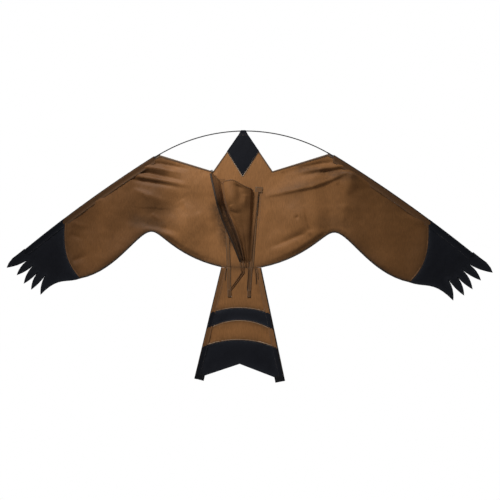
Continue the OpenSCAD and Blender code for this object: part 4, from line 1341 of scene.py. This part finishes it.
def belly_pouch():
    """The belly panel, and its points as a grid of (x, height, z) from the mouth down and from the right."""
    across = np.linspace(0, 1, POUCH_ACROSS)
    down = np.linspace(0, 1, POUCH_DOWN)
    lines = np.array([through(mm(line), down) for line in POUCH_LINES])
    grid = np.array([through(lines[:, j], across) for j in range(POUCH_DOWN)])
    u, v = np.array([(u, v) for v in down for u in across]).T
    edge = np.minimum(u, 1 - u)
    held = soft(edge * POUCH_HELD)
    fold = np.zeros(len(u))
    for line, wide, high in BELLY_FOLDS:
        shape = crest(np.column_stack([u, v]), np.array(line) / MM, wide / MM, wide / MM)
        fold += high * MM * shape * (1 - 0.5 * v)
    fold = fold * held
    fold += POUCH_SLACK * ripples(grid.reshape(-1, 3)[:, [0, 2]], 17, POUCH_WAVE) * held
    grid[:, :, 1] += fold.reshape(POUCH_DOWN, POUCH_ACROSS)
    sewn = soft((1 - down) / POUCH_SEWN)[:, None]
    grid[:, :, 1] = grid[:, :, 1] * sewn + SEWN_LEVEL * (1 - sewn)
    points = [(x, -FRONT - h, z) for x, h, z in grid.reshape(-1, 3)]
    faces = row_faces(POUCH_DOWN, POUCH_ACROSS, ring=False)
    piece = add_mesh("belly_sail", points, faces, [shaded_belly_cloth])
    # Painted shade over the flap beside the loose edge, with soil along all edges of the pouch
    flap = soft((u - FLAP_FROM) / FLAP_EASE) * (FLAP_TOP + (1 - FLAP_TOP) * soft(v / FLAP_FULL))
    flap *= 1 - 0.5 * soft((v - FLAP_FADE) / (1 - FLAP_FADE))
    set_wear_and_shade(piece, np.maximum(np.exp(-edge * EDGE_SOIL), flap))
    sew(thicken(piece, CLOTH), "belly", "brown_sailcloth", "belly_panel")
    return piece, grid


def edge_binding(name, row, across, wide, thick, material):
    """A folded edge of the pouch: a flat roll along a row of points, whose width lies along a direction."""
    ring = [math.radians(30 * i) for i in range(12)]
    points = []
    for x, h, z in row:
        for t in ring:
            out = wide / 2 * (1 + math.sin(t))
            points.append((x + across[0] * out, -FRONT - h - thick / 2 * math.cos(t), z + across[1] * out))
    count, total = len(ring), len(points)
    ends = [tuple(range(count)), tuple(range(total - count, total))]
    piece = outward(add_mesh(name, points, ends + row_faces(len(row), count), [material]))
    set_wear_and_shade(piece, np.full(total, BINDING_WEAR))
    return piece


def pouch_edges(grid):
    """The hem of the mouth, and the dark seam along the loose edge, made wide enough to paint the shade under
    that edge as well.
    """
    row = grid[0][grid[0][:, 0] < MOUTH_END]
    order = np.argsort(row[:, 0])

    def level(place):
        return FRONT + HEM_THICK / 2 + np.interp(place[0], row[order, 0], row[order, 1])

    mouth = edge_binding("mouth_binding", row, (0, 1), HEM, HEM_THICK, shaded_belly_cloth)
    sew(mouth, "belly", "dark_hem", "mouth_hem")
    belly_thread.row(row[:, [0, 2]] + np.array([0, HEM / 2]), level, both=False)
    # The dark seam along the loose edge, widened as painted shade under the edge
    loose = edge_binding("pouch_seam_and_shade", grid[:, -1], (-1, -0.3), SEAM_WIDE, SEAM_HIGH, hem_cloth)
    return [mouth, sew(loose, "belly", "dark_hem")]


# The second side of the pouch leaves the left tape, lies flat and then rises to the loose edge:
# shares of the way across and of the height
GUSSET_PATH = [(0.0, 0.02), (0.30, 0.03), (0.58, 0.06), (0.76, 0.20), (0.90, 0.62), (1.0, 0.97)]
GUSSET_ROWS = (0.05, 0.80)
GUSSET_STEPS = 25
GUSSET_LIFT = 0.6 * MM
# The whole gusset is darkened evenly, as painted shade under the pouch's loose edge
GUSSET_SHADE = 0.2
# How far forward the gusset begins to follow the pouch, and where it follows it in full
TAPE_TOP = (47 * MM, -158.0 * MM)
TAPE_LOW = (26 * MM, -381.8 * MM)


def left_tape_x(z):
    share = (z - TAPE_TOP[1]) / (TAPE_LOW[1] - TAPE_TOP[1])
    return -(TAPE_TOP[0] + share * (TAPE_LOW[0] - TAPE_TOP[0]))


def gusset(grid):
    """Second side of the pouch, between the left tape and the belly panel's loose edge."""
    first, last = (round(share * (len(grid) - 1)) for share in GUSSET_ROWS)
    path = through(np.array(GUSSET_PATH), np.linspace(0, 1, GUSSET_STEPS))
    points = []
    for x, h, z in grid[first:last, -1]:
        start = left_tape_x(z)
        for across, high in path:
            points.append((start + across * (x - start), -FRONT - GUSSET_LIFT - high * h, z))
    faces = row_faces(last - first, GUSSET_STEPS, ring=False)
    piece = thicken(add_mesh("gusset_sail", points, faces, [shaded_belly_cloth]), CLOTH)
    # Painted shade, even over the whole gusset
    set_wear_and_shade(piece, np.full(len(points), GUSSET_SHADE))
    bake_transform(piece)
    return stands_for(piece, ["belly_gusset"])


LOOP_BORE = 2.5 * MM
LOOP_THICK = 1.6 * MM
LOOP_WIDE = 5 * MM
LOOP_STEPS = 48
LOOP_SQUARE = 0.55


def squared(share):
    """Brings a round section nearer to a square one."""
    return math.copysign(abs(share) ** LOOP_SQUARE, share)


def tow_loop():
    """Small loop of webbing at the front corner of the pouch."""
    low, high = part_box("tow_loop")
    centre = (low + high) / 2
    ring = [math.radians(22.5 * i) for i in range(16)]
    points = []
    for k in range(LOOP_STEPS):
        turn = 2 * math.pi * k / LOOP_STEPS
        for t in ring:
            size = LOOP_BORE + LOOP_THICK / 2 + squared(math.cos(t)) * LOOP_THICK / 2
            y = centre.y + squared(math.sin(t)) * LOOP_WIDE / 2
            points.append((centre.x + size * math.sin(turn), y, centre.z + size * math.cos(turn)))
    faces = row_faces(LOOP_STEPS + 1, len(ring))
    faces = [tuple(i % len(points) for i in face) for face in faces]
    piece = outward(add_mesh("tow_loop_webbing", points, faces, [black_webbing]))
    sew(piece, "belly", "black_webbing", "tow_loop")


# Camera, light and floor
AIM = Vector((23.8 * MM, 0, -334.1 * MM))
CAMERA_FAR = 2000 * MM
CAMERA_YAW = math.radians(6.02)
CAMERA_PITCH = math.radians(4.2)
CAMERA_ROLL = math.radians(0.86)
LENS = 52.1
SENSOR = 36
WORLD_LIGHT = 0.15
FLOOR_Z = -1.35
FLOOR_HALF = 6.0
FLOOR_PALE = 0.55
SHADOW_NEAR = 1.45
SHADOW_FAR = 1.75


def camera():
    made = add_object("camera", bpy.data.cameras.new("camera"))
    made.data.lens = LENS
    made.data.sensor_width = SENSOR
    turn = Matrix.Rotation(CAMERA_YAW, 4, "Z") @ Matrix.Rotation(math.pi / 2 + CAMERA_PITCH, 4, "X")
    turn = turn @ Matrix.Rotation(CAMERA_ROLL, 4, "Z")
    made.matrix_world = Matrix.Translation(AIM) @ turn @ Matrix.Translation((0, 0, CAMERA_FAR))
    bpy.context.scene.camera = made


def lamp(name, place, aim, size, power, spread=180.0):
    made = add_object(name, bpy.data.lights.new(name, "AREA"))
    made.data.shape = "DISK"
    made.data.size = size
    made.data.energy = power
    made.data.spread = math.radians(spread)
    made.location = place
    made.rotation_mode = "QUATERNION"
    made.rotation_quaternion = (Vector(aim) - Vector(place)).to_track_quat("-Z", "Y")
    made.visible_camera = False


def studio():
    scene = bpy.context.scene
    scene.view_settings.view_transform = "Standard"
    nodes = Nodes(bpy.data.worlds.new("studio"))
    scene.world = nodes.set(Color=(1, 1, 1, 1), Strength=WORLD_LIGHT)
    seen, mix = nodes.white_to_camera("ShaderNodeBackground")
    nodes.tree.links.new(seen, mix.inputs[0])
    lamp("key", place=(-0.62, -0.95, 1.05), aim=(0.02, 0, -0.33), size=0.4, power=3.7, spread=56)
    lamp("rear", place=(0.2, 1.6, 0.7), aim=(0, 0, -0.3), size=1.4, power=9)


def floor():
    """Pale floor that keeps the shadow near the kite and is white farther off."""
    points = [(x * FLOOR_HALF, y * FLOOR_HALF, FLOOR_Z) for x, y in ((-1, -1), (1, -1), (1, 1), (-1, 1))]
    nodes = Nodes.material("floor_white")
    grain = nodes.noise(30, 3)
    nodes.drive("Base Color", nodes.ramp(grain, 0.3, grey(0.83), 0.7, grey(0.86)))
    nodes.gloss(grain, 0.8, 0.9)
    seen, mix = nodes.white_to_camera("ShaderNodeEmission")
    apart = nodes.add("ShaderNodeVectorMath", {0: nodes.place}, operation="LENGTH").outputs["Value"]
    links = {"Value": apart, "From Min": SHADOW_NEAR, "From Max": SHADOW_FAR, "To Min": FLOOR_PALE}
    far = nodes.add("ShaderNodeMapRange", links)
    nodes.tree.links.new(nodes.math("MULTIPLY", seen, far.outputs[0]), mix.inputs[0])
    add_mesh("floor", points, [(0, 1, 2, 3)], [nodes.owner])


camera()
rods()
for side in SIDES:
    shoulder_tube(side)
    wing(side)
body_cloth()
nose_fold()
belly_tapes()
gathers()
tail()
belly, belly_grid = belly_pouch()
pouch_trims = pouch_edges(belly_grid)
pouch_side = gusset(belly_grid)
tow_loop()
for side in SIDES:
    hinge_sew(wing_threads[side].made(dark_thread), side, "dark_hem")
sew(body_thread.made(brown_thread), "body", "brown_tape")
sew(body_dark_thread.made(dark_thread), "body", "brown_tape")
attach(tail_thread.made(dark_thread), "tail", "brown_tape")
sew(belly_thread.made(dark_thread), "belly", "dark_hem")
studio()
floor()
